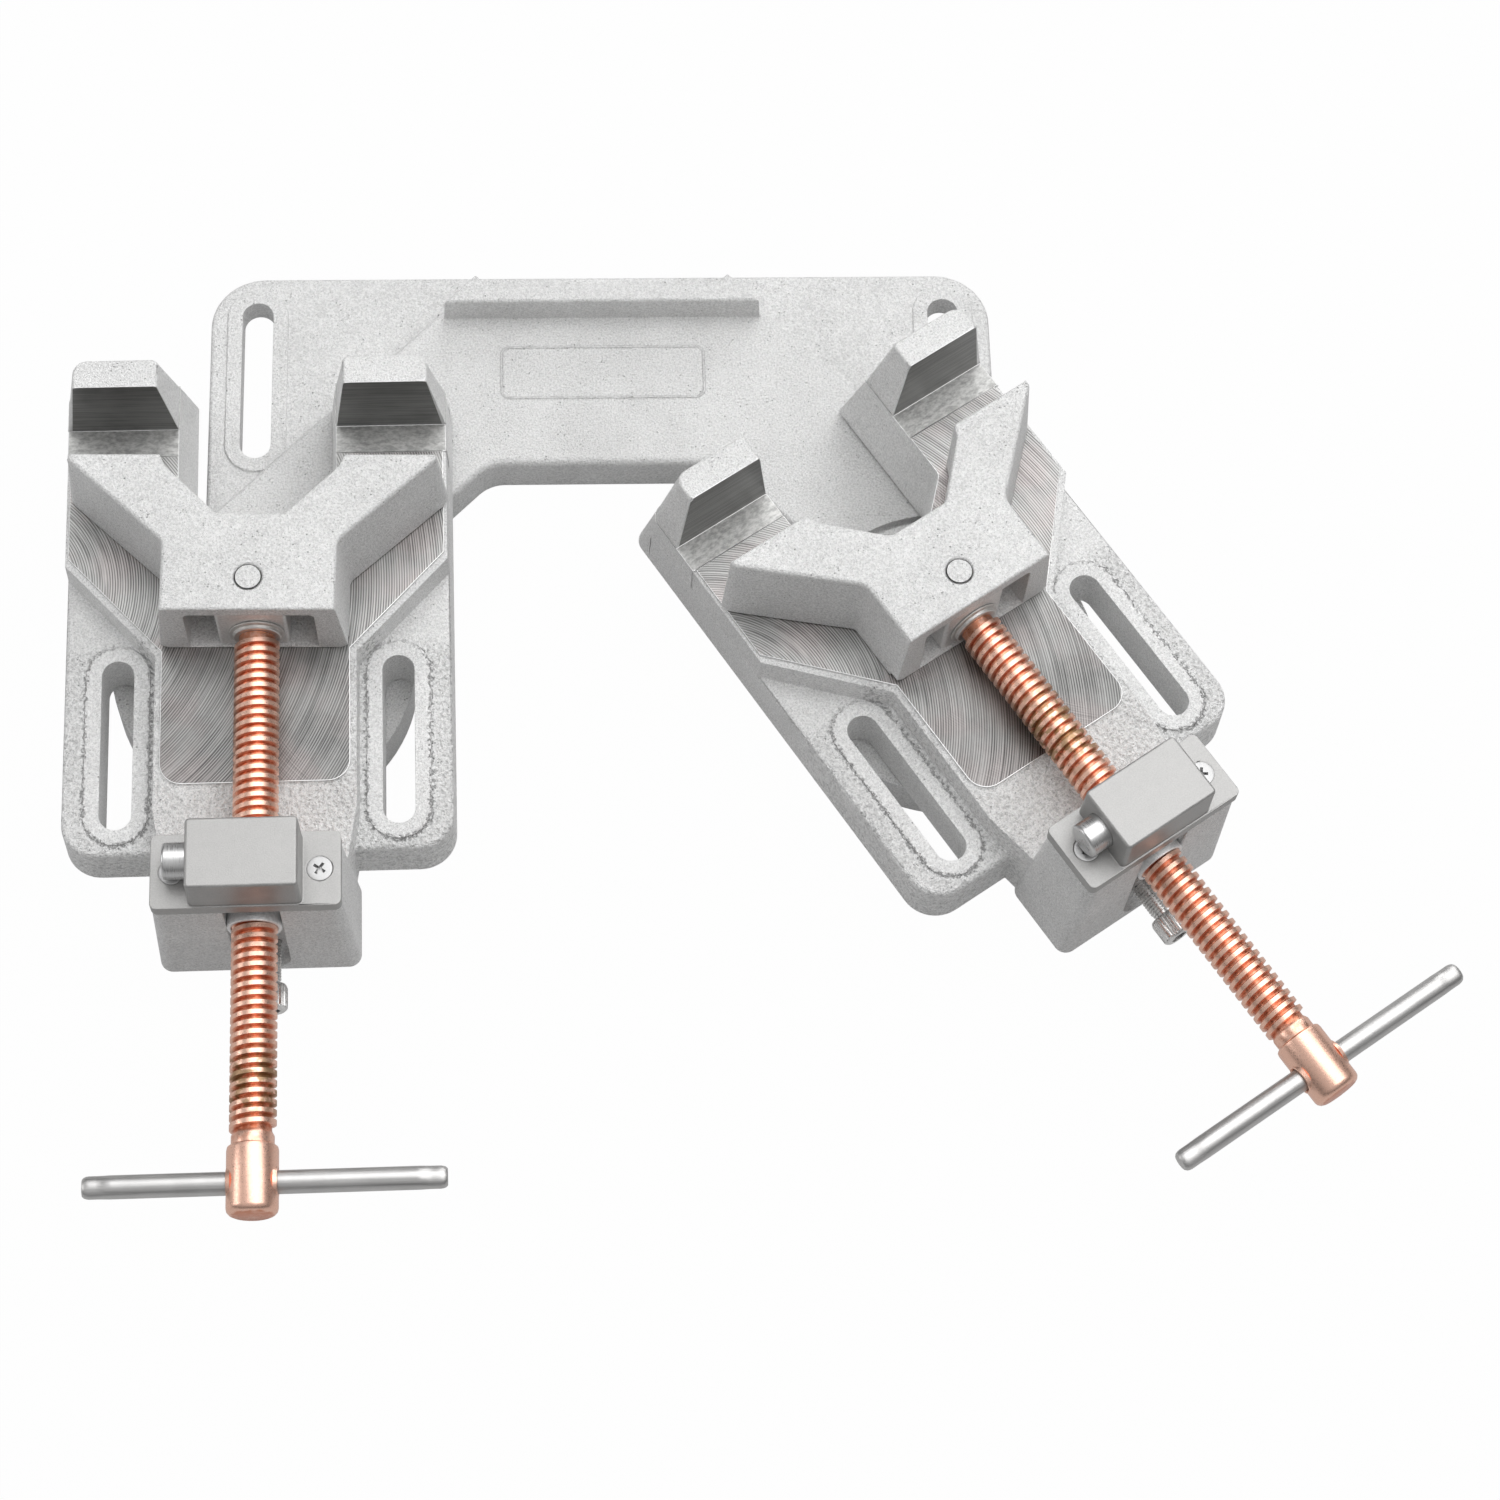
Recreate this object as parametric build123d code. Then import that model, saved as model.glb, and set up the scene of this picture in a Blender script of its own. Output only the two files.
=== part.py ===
from build123d import *
import math
import os

# Adjustable welding vise: two identical screw clamps that swivel on one cast bridge plate.
# Millimetres. +Z is up, Y runs from the handles to the fixed fingers, X runs along the bridge.
# The origin lies on the underside of the bridge plate, midway between its two wing slots.
# Inside this script Y = 0 is the line through the two swivel axes; export moves it to the origin.

os.makedirs("parts", exist_ok=True)

# Bridge plate
pivot_x = 110.0             # each swivel axis to the middle
plate_height = 16.0         # top of the raised bridge
wing_height = 9.0           # top of the slotted wings
wing_half_length = 131.0
wing_back = 145.0
wing_corner_r = 18.0
rib_height = 11.0           # back rib above the bridge
rib_half_length = 54.0      # at its front edge
rib_front = 125.0
rib_back = 133.0
bridge_front = 71.0
bridge_front_half = 38.0    # where the front edge turns down to the turntables
bridge_neck_r = 12.0
bridge_edge_r = 2.0         # soft top edge of the slanted arms
turntable_r = 48.5
groove_width = 2.5          # ring groove round each turntable
groove_depth = 4.0
front_edge_r = 2.5          # soft top edge of the front wall
wing_edge_r = 1.5
rib_edge_r = 1.2
pocket_corner_r = 1.5
plate_slot_x = 115.3
plate_slot_half_width = 5.1
plate_slot_front = 77.2
plate_slot_back = 135.1
slot_border = 5.0           # flat land round every slot
land_height = 0.8
name_frame_length = 68.0    # bare embossed frame
name_frame_width = 19.6
name_frame_y = 104.8
name_frame_line = 0.7
name_frame_height = 0.4
name_frame_corner_r = 3.2
pocket_depth = 8.0          # underside pockets between stiffening webs
pocket_length = 20.0
pocket_width = 38.0
pocket_pitch = 24.0
pocket_count = 4
pocket_y = 98.0

# Swivel
hub_r = 24.0
hub_height = 33.0           # above the table
hub_play = 0.05
turntable_play = 0.3        # turntable face to the underside of the body
body_gap = 1.0              # bridge to the underside of the body
hub_end_play = 1.2
bolt_r = 5.0
bolt_play = 0.08
bolt_head_r = 8.0
bolt_head_height = 6.0
bolt_bore_r = 11.0
bolt_bore_depth = 8.4
bolt_end = 44.0             # tip of the bolt above the table
bolt_socket_across = 8.0
bolt_socket_depth = 3.5
washer_r = 10.0
washer_thickness = 1.4
washer_play = 0.1

# Vise body
body_half_width = 61.0
body_draft = 1.5
lug_thickness = 18.5
lug_front = -72.0
lug_corner_r = 11.5
lug_edge_r = 1.8
body_back = 92.0            # at the underside
body_back_r = 5.5
lug_slot_x = 43.8
lug_slot_half_width = 5.0
lug_slot_back = -6.8
lug_slot_front = -63.4
bed_height = 30.0           # bed above the underside of the body
bed_step = 1.0              # milled pad above the casting
bed_half_width = 59.0
bed_throat_half = 29.3
bed_shoulder_y = 24.0
bed_throat_y = -8.5
bed_front = -53.0
bed_corner_r = 7.0
bed_margin = 2.0            # casting left standing beside the milled pad
bed_side_margin = 1.0
relief_width = 9.7          # lowered strip at the foot of the fingers
relief_depth = 0.4
finger_face = 69.2
finger_height = 29.0
finger_outer_foot = 60.0
finger_outer_top = 55.1
finger_inner_foot = 25.0
finger_inner_top = 28.9
finger_foot_back = 84.4
finger_top_back = 78.8
finger_corner_r = 4.5
finger_edge_r = 1.2
crotch_draft = 5.8
crotch_shoulder_y = 43.8
crotch_floor_y = 32.5
crotch_floor_half = 13.0
crotch_corner_r = 3.0

# Nut housing on the body
housing_foot_half = 31.0
housing_top_half = 28.2
housing_front = -103.6
housing_foot_back = -75.5
housing_top_back = -80.0
housing_height = 52.5
housing_corner_r = 4.0
channel_half_width = 8.4
channel_depth = 5.2
channel_foot_z = 26.4       # centre of its round foot, above the table

# Spindle, trapezoidal thread 14 x 3
spindle_z = 10.0            # axis above the bed
thread_r = 7.0
thread_start = -10.0
thread_end = -168.5
neck_r = 6.3
head_start = -171.8
head_end = -192.5
head_r = 7.7
head_chamfer = 1.2
journal_r = 5.0
journal_play = 0.08
journal_end = 11.2
spindle_bore_play = 0.3
bar_y = -182.7
bar_r = 3.5
bar_length = 106.0
bar_play = 0.1
bar_offset_left = 3.8
bar_offset_right = 0.5
bush_r = 8.2
bush_length = 7.0
bush_seat = 1.0
bush_play = 0.06
fit_play = 0.02             # parts seated in the same casting

# Moving jaw
jaw_back = 45.0
jaw_front = -8.0
jaw_height = 29.0
jaw_lift = 0.3              # running gap over the bed
jaw_tip_half = 59.4
jaw_tip_y = 42.0
jaw_elbow_x = 29.3
jaw_elbow_y = 14.2
jaw_draft = 5.0
jaw_edge_r = 1.5
jaw_foot_chamfer = 3.5      # bottom corners of the front face
jaw_pocket_corner_r = 2.0
notch_mouth_half = 28.6
notch_shoulder_half = 26.8
notch_shoulder_y = 41.0
notch_floor_y = 24.6
notch_floor_half = 10.4
jaw_corner_r = 3.0
jaw_tip_r = 5.0
jaw_pocket_half = 20.0
jaw_pocket_floor = 1.2      # above the bed
jaw_pocket_roof = 24.5      # above the bed
jaw_pocket_back = 13.0
pin_y = 3.0
pin_r = 4.2
pin_play = 0.06
pin_foot = 16.5             # above the bed
block_half = 10.9
block_front = -7.0
block_back = 9.3
block_gap = 0.3
block_corner_r = 1.2
collar_r = 8.6
collar_length = 1.8
collar_gap = 0.2
clip_r = 7.2
clip_thickness = 1.0

# Cover and quick release
flange_half = 28.2
flange_thickness = 5.0
flange_corner_r = 2.0
button_y = -91.0
hat_half = 16.8
hat_front = button_y - 12.0
hat_back = button_y + 10.4
hat_rise = 15.5             # hat above the flange
hat_draft = 1.0
hat_wall = 2.2
hat_corner_r = 1.6
hat_edge_r = 0.9
screw_x = 21.8
screw_y = button_y - 1.0
screw_head_r = 4.2
screw_head_height = 2.4
screw_r = 2.0
screw_length = 14.0
button_r = 5.5
button_z = 34.0             # axis above the bed
button_out = -23.8
button_travel = 3.4
button_play = 0.08
button_edge_r = 1.0
shoulder_r = 6.4
shoulder_length = 1.0
shoulder_gap = 0.1
release_pin_r = 3.4
release_pin_end = 9.8
ramp_slope = 0.55
ramp_rise = 1.0             # ramp above the pin axis at the middle
ramp_end = 4.5
follower_half = 3.0
follower_gap = 0.12
spring_bore_r = 2.6
spring_bore_depth = 4.2
spring_r = 2.1
spring_wire = 0.5
spring_gap = 0.1
half_nut_half = 9.5
half_nut_length = 11.0
half_nut_play = 0.15
half_nut_foot = 11.0        # above the bed
half_nut_top = 38.4         # above the bed

# Swivel lock
lock_z = 28.0               # above the table
lock_r = 3.0
lock_play = 0.06
lock_gap = 0.3              # pad to hub when slack
lock_pad_length = 6.0
lock_pad_gap = 0.05
lock_head_r = 5.0
lock_head_height = 8.2
lock_head_y = -112.6
lock_socket_across = 5.0
lock_socket_depth = 3.0

# Rest pose as photographed; the hand-drilled castings differ a little in where the screws run
left_yaw = 0.8
right_yaw = 33.2
left_jaw_tilt = -1.4
right_jaw_tilt = 0.0
left_spindle_x = 1.3
right_spindle_x = 0.0
left_lock_x = 4.0
right_lock_x = 0.0

# Heights that follow from the values above
under_z = plate_height + body_gap
lug_z = under_z + lug_thickness
bed_z = under_z + bed_height
cast_z = bed_z - bed_step
spindle_height = bed_z + spindle_z
housing_top = under_z + housing_height
flange_top = housing_top + flange_thickness
hat_top = flange_top + hat_rise
button_height = bed_z + button_z
button_lift = ramp_slope * button_travel
slot_middle = (plate_slot_front + plate_slot_back) / 2
groove_reach = turntable_r + groove_width
overlap = 1.0               # how far a cutting tool runs past a face


def both_sides(points):
    """Closes a right-hand run of points, back to front, with its mirror image."""
    return [(-x, y) for x, y in points] + points[::-1]


def outline_face(points):
    return make_face(Polyline(*points, close=True))


def corners(sketch, low_y, high_y, low_x=0.0):
    """Vertices of a sketch whose y lies in a band and which stand off the middle."""
    return [v for v in sketch.vertices() if low_y <= v.Y <= high_y and abs(v.X) >= low_x]


def level_edges(part, z):
    """Edges that lie flat at one height."""
    found = []
    for edge in part.edges():
        box = edge.bounding_box()
        if abs(box.min.Z - z) < fit_play and abs(box.max.Z - z) < fit_play:
            found.append(edge)
    return found


def slot_face(x, low_y, high_y, half_width):
    """Long hole along Y with round ends, given by its outer ends."""
    middle = (low_y + high_y) / 2
    return Pos(x, middle) * Rot(0, 0, 90) * SlotOverall(high_y - low_y, 2 * half_width)


def prism(face, low_z, high_z, draft=0.0):
    return extrude(Pos(0, 0, low_z) * face, amount=high_z - low_z, taper=draft)


def drop(face, high_z, low_z, draft):
    """Prism hung from its top face, for an outline that is its own mirror image in X.

    It widens downwards when the draft is negative.
    """
    return Pos(0, 0, high_z) * Rot(0, 180, 0) * extrude(face, amount=high_z - low_z, taper=draft)


def block(low, high):
    size = [high[i] - low[i] for i in range(3)]
    middle = [(high[i] + low[i]) / 2 for i in range(3)]
    return Pos(*middle) * Box(*size)


def rod(radius, start_y, end_y, z=0.0, x=0.0):
    """Round bar along Y."""
    return Pos(x, (start_y + end_y) / 2, z) * Rot(90, 0, 0) * Cylinder(radius, abs(end_y - start_y))


def cross_rod(radius, start_x, end_x, y, z):
    """Round bar along X."""
    return Pos((start_x + end_x) / 2, y, z) * Rot(0, 90, 0) * Cylinder(radius, abs(end_x - start_x))


def post(radius, low_z, high_z, x=0.0, y=0.0):
    """Round bar along Z."""
    return Pos(x, y, (low_z + high_z) / 2) * Cylinder(radius, high_z - low_z)


def hexagon(across_flats):
    return RegularPolygon(across_flats / 2, 6, major_radius=False)


# Bridge plate

def bridge_outline():
    """Raised bridge: back rib line, 45 degree arms tangent to the turntables, front edge."""
    crease = pivot_x + math.sqrt(2) * groove_reach
    half_turn = groove_reach / math.sqrt(2)
    arm_drop = bridge_front - pivot_x + bridge_front_half
    arm_end = (pivot_x + arm_drop) / 2
    right = [
        (crease - rib_back, rib_back),
        (pivot_x + half_turn, half_turn),
        (pivot_x, 0.0),
        (arm_end + arm_drop / 2, arm_end - arm_drop / 2),
        (bridge_front_half, bridge_front),
    ]
    face = outline_face(both_sides(right))
    front = corners(face, bridge_front - overlap, bridge_front + overlap)
    return fillet(front, bridge_neck_r)


def wing_outline():
    back = wing_back
    half = wing_half_length
    face = outline_face(both_sides([(half, back), (half, 0.0)]))
    return fillet(corners(face, back - overlap, back + overlap), wing_corner_r)


def back_rib():
    crease_x = rib_half_length - (rib_back - rib_front)
    ear = 4.0
    right = [
        (crease_x - 2 * ear, rib_back),
        (crease_x - ear, rib_back + ear),
        (rib_half_length, rib_front),
    ]
    face = outline_face(both_sides(right))
    rib = prism(face, 0, plate_height + rib_height, body_draft)
    top_edges = level_edges(rib, plate_height + rib_height)
    return fillet(top_edges, rib_edge_r)


def name_frame():
    outer = RectangleRounded(name_frame_length, name_frame_width, name_frame_corner_r)
    inner_length = name_frame_length - 2 * name_frame_line
    inner_width = name_frame_width - 2 * name_frame_line
    inner = RectangleRounded(inner_length, inner_width, name_frame_corner_r - name_frame_line)
    frame = Pos(0, name_frame_y) * (outer - inner)
    return prism(frame, plate_height, plate_height + name_frame_height)


def turntable(x):
    top = under_z - turntable_play
    disc = post(turntable_r, 0, top, x)
    hub = post(hub_r, 0, hub_height, x)
    return disc + hub


def ring_groove(x):
    low = plate_height - groove_depth
    high = plate_height + overlap
    return post(groove_reach, low, high, x) - post(turntable_r, low, high, x)


def plate_slot(x):
    opening = slot_face(x, plate_slot_front, plate_slot_back, plate_slot_half_width)
    return prism(opening, -overlap, wing_height + land_height + overlap)


def plate_land(x):
    low = plate_slot_front - slot_border
    high = plate_slot_back + slot_border
    land = slot_face(x, low, high, plate_slot_half_width + slot_border)
    return prism(land, wing_height, wing_height + land_height)


def base_plate():
    wings = prism(wing_outline(), 0, wing_height)
    under_bridge = outline_face(both_sides([(pivot_x, bridge_front), (pivot_x, -overlap)]))
    wings -= prism(under_bridge, -overlap, plate_height)
    wing_rim = [e for e in level_edges(wings, wing_height) if e.center().Y > wing_back - wing_corner_r]
    wings = fillet(wing_rim, wing_edge_r)
    bridge = prism(bridge_outline(), 0, plate_height)
    top_edges = level_edges(bridge, plate_height)
    front_edges = [e for e in top_edges if groove_reach < e.center().Y < bridge_front + overlap]
    bridge = fillet(front_edges, front_edge_r)
    top_edges = level_edges(bridge, plate_height)
    arm_edges = [e for e in top_edges if bridge_front + overlap < e.center().Y < rib_back - overlap]
    bridge = fillet(arm_edges, bridge_edge_r)
    plate = wings + bridge
    plate = plate + back_rib()
    for side in (-1, 1):
        plate += plate_land(side * plate_slot_x) - bridge
        plate -= plate_slot(side * plate_slot_x)
        plate -= ring_groove(side * pivot_x)
        plate += turntable(side * pivot_x)
        plate -= post(bolt_r + bolt_play, -overlap, hub_height + overlap, side * pivot_x)
        plate -= post(bolt_bore_r, -overlap, bolt_bore_depth, side * pivot_x)
    for k in range(pocket_count):
        x = (k - (pocket_count - 1) / 2) * pocket_pitch
        pocket = Pos(x, pocket_y) * RectangleRounded(pocket_length, pocket_width, pocket_corner_r)
        plate -= prism(pocket, -overlap, pocket_depth)
    return plate + name_frame()


# Vise body

def pad_outline():
    right = [
        (bed_half_width, finger_face + overlap),
        (bed_half_width, bed_shoulder_y),
        (bed_throat_half, bed_throat_y),
        (bed_throat_half, bed_front),
    ]
    face = outline_face(both_sides(right))
    return fillet(corners(face, bed_front - overlap, bed_front + overlap), bed_corner_r)


def cast_outline():
    side = bed_half_width + bed_side_margin
    throat = bed_throat_half + bed_margin
    right = [
        (side, finger_face + overlap),
        (side, bed_shoulder_y - bed_margin),
        (throat, bed_throat_y - bed_side_margin),
        (throat, lug_front + lug_corner_r),
        (housing_top_half, housing_top_back),
    ]
    return outline_face(both_sides(right))


def lug_outline():
    right = [(body_half_width, finger_foot_back - bed_margin), (body_half_width, lug_front)]
    face = outline_face(both_sides(right))
    return fillet(corners(face, lug_front - overlap, lug_front + overlap), lug_corner_r)


def tower_section(side, z, inner, outer, front, back, radius):
    """Level section of one rear tower; its two back corners are rounded."""
    points = [(side * inner, front), (side * outer, front), (side * outer, back), (side * inner, back)]
    face = outline_face(points)
    return Pos(0, 0, z) * fillet(corners(face, back - overlap, back + overlap), radius)


def tower(side):
    root = crotch_floor_half
    low = tower_section(side, under_z, root, body_half_width, 0.0, body_back, body_back_r)
    high = tower_section(side, bed_z, root, finger_outer_foot, 0.0, finger_foot_back, body_back_r)
    return loft([low, high], ruled=True)


def finger(side):
    foot = (finger_inner_foot, finger_outer_foot, finger_face, finger_foot_back)
    top = (finger_inner_top, finger_outer_top, finger_face, finger_top_back)
    low = tower_section(side, bed_z - relief_depth, *foot, body_back_r)
    high = tower_section(side, bed_z + finger_height, *top, finger_corner_r)
    post_part = loft([low, high], ruled=True)
    rim = level_edges(post_part, bed_z + finger_height)
    return fillet([e for e in rim if e.center().Y > finger_face + overlap], finger_edge_r)


def crotch():
    right = [
        (finger_inner_foot, body_back + 4 * crotch_corner_r),
        (finger_inner_foot, crotch_shoulder_y),
        (crotch_floor_half, crotch_floor_y),
    ]
    face = outline_face(both_sides(right))
    face = fillet(corners(face, crotch_floor_y - overlap, crotch_shoulder_y + overlap), crotch_corner_r)
    return drop(face, bed_z + overlap, under_z - overlap, crotch_draft)


def housing():
    foot_length = housing_foot_back - housing_front
    top_length = housing_top_back - housing_front
    foot = RectangleRounded(2 * housing_foot_half, foot_length, housing_corner_r)
    top = RectangleRounded(2 * housing_top_half, top_length, housing_corner_r)
    low = Pos(0, housing_front + foot_length / 2, under_z) * foot
    high = Pos(0, housing_front + top_length / 2, housing_top) * top
    return loft([low, high], ruled=True)


def nut_pocket(play):
    """Upright well for the half nut, open at the top of the housing."""
    reach = half_nut_length / 2 + play
    low = (-half_nut_half - play, button_y - reach, bed_z + half_nut_foot - block_gap)
    high = (half_nut_half + play, button_y + reach, housing_top + overlap)
    return block(low, high)


def vise_body(spindle_x, lock_x):
    """One casting: slotted lugs, bed, two fingers and the nut housing."""
    body = prism(lug_outline(), under_z, lug_z, body_draft)
    lug_rim = level_edges(body, lug_z)
    body = fillet([e for e in lug_rim if e.center().Y < finger_face], lug_edge_r)
    body += drop(cast_outline(), cast_z, under_z, -body_draft)
    for side in (-1, 1):
        body += tower(side) - block(
            (-2 * body_half_width, -overlap, under_z - overlap),
            (2 * body_half_width, finger_face - relief_width, bed_z + overlap),
        )
    body += prism(pad_outline(), cast_z - overlap, bed_z)
    strip_low = (-bed_half_width * 2, finger_face - relief_width, bed_z - relief_depth)
    body -= block(strip_low, (bed_half_width * 2, finger_face, bed_z + overlap))
    for side in (-1, 1):
        body += finger(side)
        opening = slot_face(side * lug_slot_x, lug_slot_front, lug_slot_back, lug_slot_half_width)
        land = slot_face(
            side * lug_slot_x,
            lug_slot_front - slot_border,
            lug_slot_back + slot_border,
            lug_slot_half_width + slot_border,
        )
        body += prism(land, under_z + overlap, lug_z + land_height)
        body -= prism(opening, under_z - overlap, lug_z + land_height + overlap)
    body -= crotch()
    body += housing()
    channel_floor = housing_front + channel_depth
    channel_low = (spindle_x - channel_half_width, housing_front - overlap, channel_foot_z)
    channel_high = (spindle_x + channel_half_width, channel_floor, housing_top + overlap)
    body -= block(channel_low, channel_high)
    body -= rod(channel_half_width, housing_front - overlap, channel_floor, channel_foot_z, spindle_x)
    body -= post(hub_r + hub_play, under_z - overlap, hub_height + hub_end_play)
    body -= post(bolt_r + fit_play, under_z, bolt_end + block_gap)
    body -= nut_pocket(half_nut_play)
    bore_r = thread_r + spindle_bore_play
    bore_end = housing_foot_back + housing_corner_r
    body -= rod(bore_r, channel_floor - overlap, bore_end, spindle_height, spindle_x)
    seat_end = channel_floor + bush_seat
    seat_start = seat_end - bush_length - block_gap
    body -= rod(bush_r + fit_play, seat_start, seat_end, spindle_height, spindle_x)
    body -= rod(lock_r + lock_play, channel_floor - overlap, 0, lock_z, lock_x)
    for side in (-1, 1):
        foot = flange_top - screw_length - block_gap
        body -= post(screw_r + fit_play, foot, housing_top + overlap, side * screw_x, screw_y)
    return body


# Moving jaw and the block that carries it

def moving_jaw():
    right = [
        (jaw_tip_half, jaw_back + 2 * jaw_corner_r),
        (jaw_tip_half, jaw_tip_y),
        (jaw_elbow_x, jaw_elbow_y),
        (jaw_elbow_x, jaw_front - 2 * jaw_corner_r),
    ]
    face = outline_face(both_sides(right))
    face = fillet(corners(face, jaw_tip_y - overlap, jaw_tip_y + overlap), jaw_tip_r)
    face = fillet(corners(face, jaw_elbow_y - overlap, jaw_elbow_y + overlap), jaw_corner_r)
    low = bed_z + jaw_lift
    high = low + jaw_height
    jaw = prism(face, low, high, jaw_draft)
    jaw &= block((-jaw_tip_half, jaw_front, low), (jaw_tip_half, jaw_back, high))
    cast_edges = [edge for edge in level_edges(jaw, high) if abs(edge.center().X) > jaw_pocket_half]
    jaw = fillet(cast_edges, jaw_edge_r)
    wedge = Box(jaw_foot_chamfer, 2 * jaw_foot_chamfer, jaw_foot_chamfer)
    for side in (-1, 1):
        jaw -= Pos(side * jaw_elbow_x, jaw_front, low) * Rot(0, 45, 0) * wedge
    notch = [
        (notch_mouth_half, jaw_back + overlap),
        (notch_mouth_half, jaw_back),
        (notch_shoulder_half, notch_shoulder_y),
        (notch_floor_half, notch_floor_y),
    ]
    notch_face = outline_face(both_sides(notch))
    floor_corners = corners(notch_face, notch_floor_y - overlap, notch_floor_y + overlap)
    notch_face = fillet(floor_corners, jaw_corner_r)
    jaw -= prism(notch_face, low - overlap, high + overlap)
    pocket_low = (-jaw_pocket_half, jaw_front - overlap, bed_z + jaw_pocket_floor)
    pocket = block(pocket_low, (jaw_pocket_half, jaw_pocket_back, bed_z + jaw_pocket_roof))
    roof_edges = pocket.edges().filter_by(Axis.Y).sort_by(Axis.Z)[-2:]
    jaw -= fillet(roof_edges, jaw_pocket_corner_r)
    jaw -= post(pin_r + pin_play, bed_z + jaw_pocket_floor, high + overlap, 0, pin_y)
    return jaw


def jaw_pin():
    return post(pin_r, bed_z + pin_foot, bed_z + jaw_lift + jaw_height, 0, pin_y)


def spindle_block(spindle_x):
    low_z = bed_z + jaw_pocket_floor + block_gap
    high_z = bed_z + jaw_pocket_roof - block_gap
    length = block_back - block_front
    face = Pos(0, block_front + length / 2) * RectangleRounded(2 * block_half, length, block_corner_r)
    body = prism(face, low_z, high_z)
    bore_r = journal_r + journal_play
    body -= rod(bore_r, block_front - overlap, block_back + overlap, spindle_height, spindle_x)
    return body - post(pin_r + fit_play, bed_z + pin_foot - block_gap, high_z + overlap, 0, pin_y)


def thrust_collar():
    start = block_front - collar_gap
    ring = rod(collar_r, start - collar_length, start, spindle_height)
    return ring - rod(journal_r + fit_play, start - collar_length - overlap, start + overlap, spindle_height)


def retaining_clip():
    start = block_back + collar_gap
    ring = rod(clip_r, start, start + clip_thickness, spindle_height)
    return ring - rod(journal_r + fit_play, start - overlap, start + clip_thickness + overlap, spindle_height)


def spindle():
    """Turned in one piece: journal, threaded length, neck and drilled head."""
    screw = rod(journal_r, journal_end, thread_start, spindle_height)
    thread = chamfer(rod(thread_r, thread_start, thread_end, spindle_height).edges(), head_chamfer)
    screw += thread
    screw += rod(neck_r, thread_end + overlap, head_start - overlap, spindle_height)
    head = chamfer(rod(head_r, head_start, head_end, spindle_height).edges(), head_chamfer)
    screw += head
    return screw - cross_rod(bar_r + bar_play, -2 * head_r, 2 * head_r, bar_y, spindle_height)


def tommy_bar(offset):
    half = bar_length / 2
    bar = cross_rod(bar_r, offset - half, offset + half, bar_y, spindle_height)
    return fillet(bar.edges().filter_by(GeomType.CIRCLE), bar_r / 3)


# Nut, cover and quick release

def nut_bush():
    start = housing_front + channel_depth + bush_seat
    ring = rod(bush_r, start, start - bush_length, spindle_height)
    return ring - rod(thread_r + bush_play, start + overlap, start - bush_length - overlap, spindle_height)


def ramp_line(gap):
    """Height of the release ramp, from one end of the follower to the other, in the XZ plane."""
    middle = button_height + ramp_rise + gap
    reach = 4 * follower_half
    return [(-reach, middle + ramp_slope * reach), (reach, middle - ramp_slope * reach)]


def above_ramp(gap, half_width):
    """Everything above the sloping ramp."""
    ceiling = hat_top + 4 * follower_half
    line = ramp_line(gap)
    points = line + [(line[1][0], ceiling), (line[0][0], ceiling)]
    face = Plane.XZ.offset(-button_y - half_width) * outline_face(points)
    return extrude(face, amount=2 * half_width)


def half_nut(spindle_x):
    reach = half_nut_length / 2
    low = (-half_nut_half, button_y - reach, bed_z + half_nut_foot)
    nut = block(low, (half_nut_half, button_y + reach, bed_z + half_nut_top))
    saddle_r = thread_r + half_nut_play
    nut -= rod(saddle_r, button_y - 2 * reach, button_y + 2 * reach, spindle_height, spindle_x)
    cheek = release_pin_r + half_nut_play
    window_floor = button_height - release_pin_r - button_lift - half_nut_play
    window_low = (-2 * half_nut_half, button_y - cheek, window_floor)
    nut -= block(window_low, (2 * half_nut_half, button_y + cheek, hat_top))
    follower_low = (-follower_half, button_y - cheek - overlap, button_height - release_pin_r)
    follower = block(follower_low, (follower_half, button_y + cheek + overlap, bed_z + half_nut_top))
    return nut + (follower & above_ramp(follower_gap, release_pin_r * 2))


def release_button():
    inside = -hat_half + hat_wall + shoulder_gap
    button = cross_rod(button_r, button_out, inside + shoulder_length, button_y, button_height)
    outer_edge = button.edges().filter_by(GeomType.CIRCLE).sort_by(Axis.X)[:1]
    button = fillet(outer_edge, button_edge_r)
    button += cross_rod(shoulder_r, inside, inside + shoulder_length, button_y, button_height)
    pin = cross_rod(release_pin_r, inside, release_pin_end, button_y, button_height)
    notch = above_ramp(0.0, release_pin_r * 2)
    notch &= block((-3 * follower_half, button_y - button_r, 0), (ramp_end, button_y + button_r, hat_top))
    pin -= notch
    bore_start = release_pin_end - spring_bore_depth
    pin -= cross_rod(spring_bore_r, bore_start, release_pin_end + overlap, button_y, button_height)
    return button + pin


def button_spring():
    """Drawn at its pressed length, as a sleeve of the coil's own size."""
    far_wall = hat_half - hat_wall
    start = release_pin_end - spring_bore_depth + button_travel + spring_gap
    sleeve = cross_rod(spring_r, start, far_wall - spring_gap, button_y, button_height)
    return sleeve - cross_rod(spring_r - spring_wire, start - overlap, far_wall, button_y, button_height)


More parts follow.
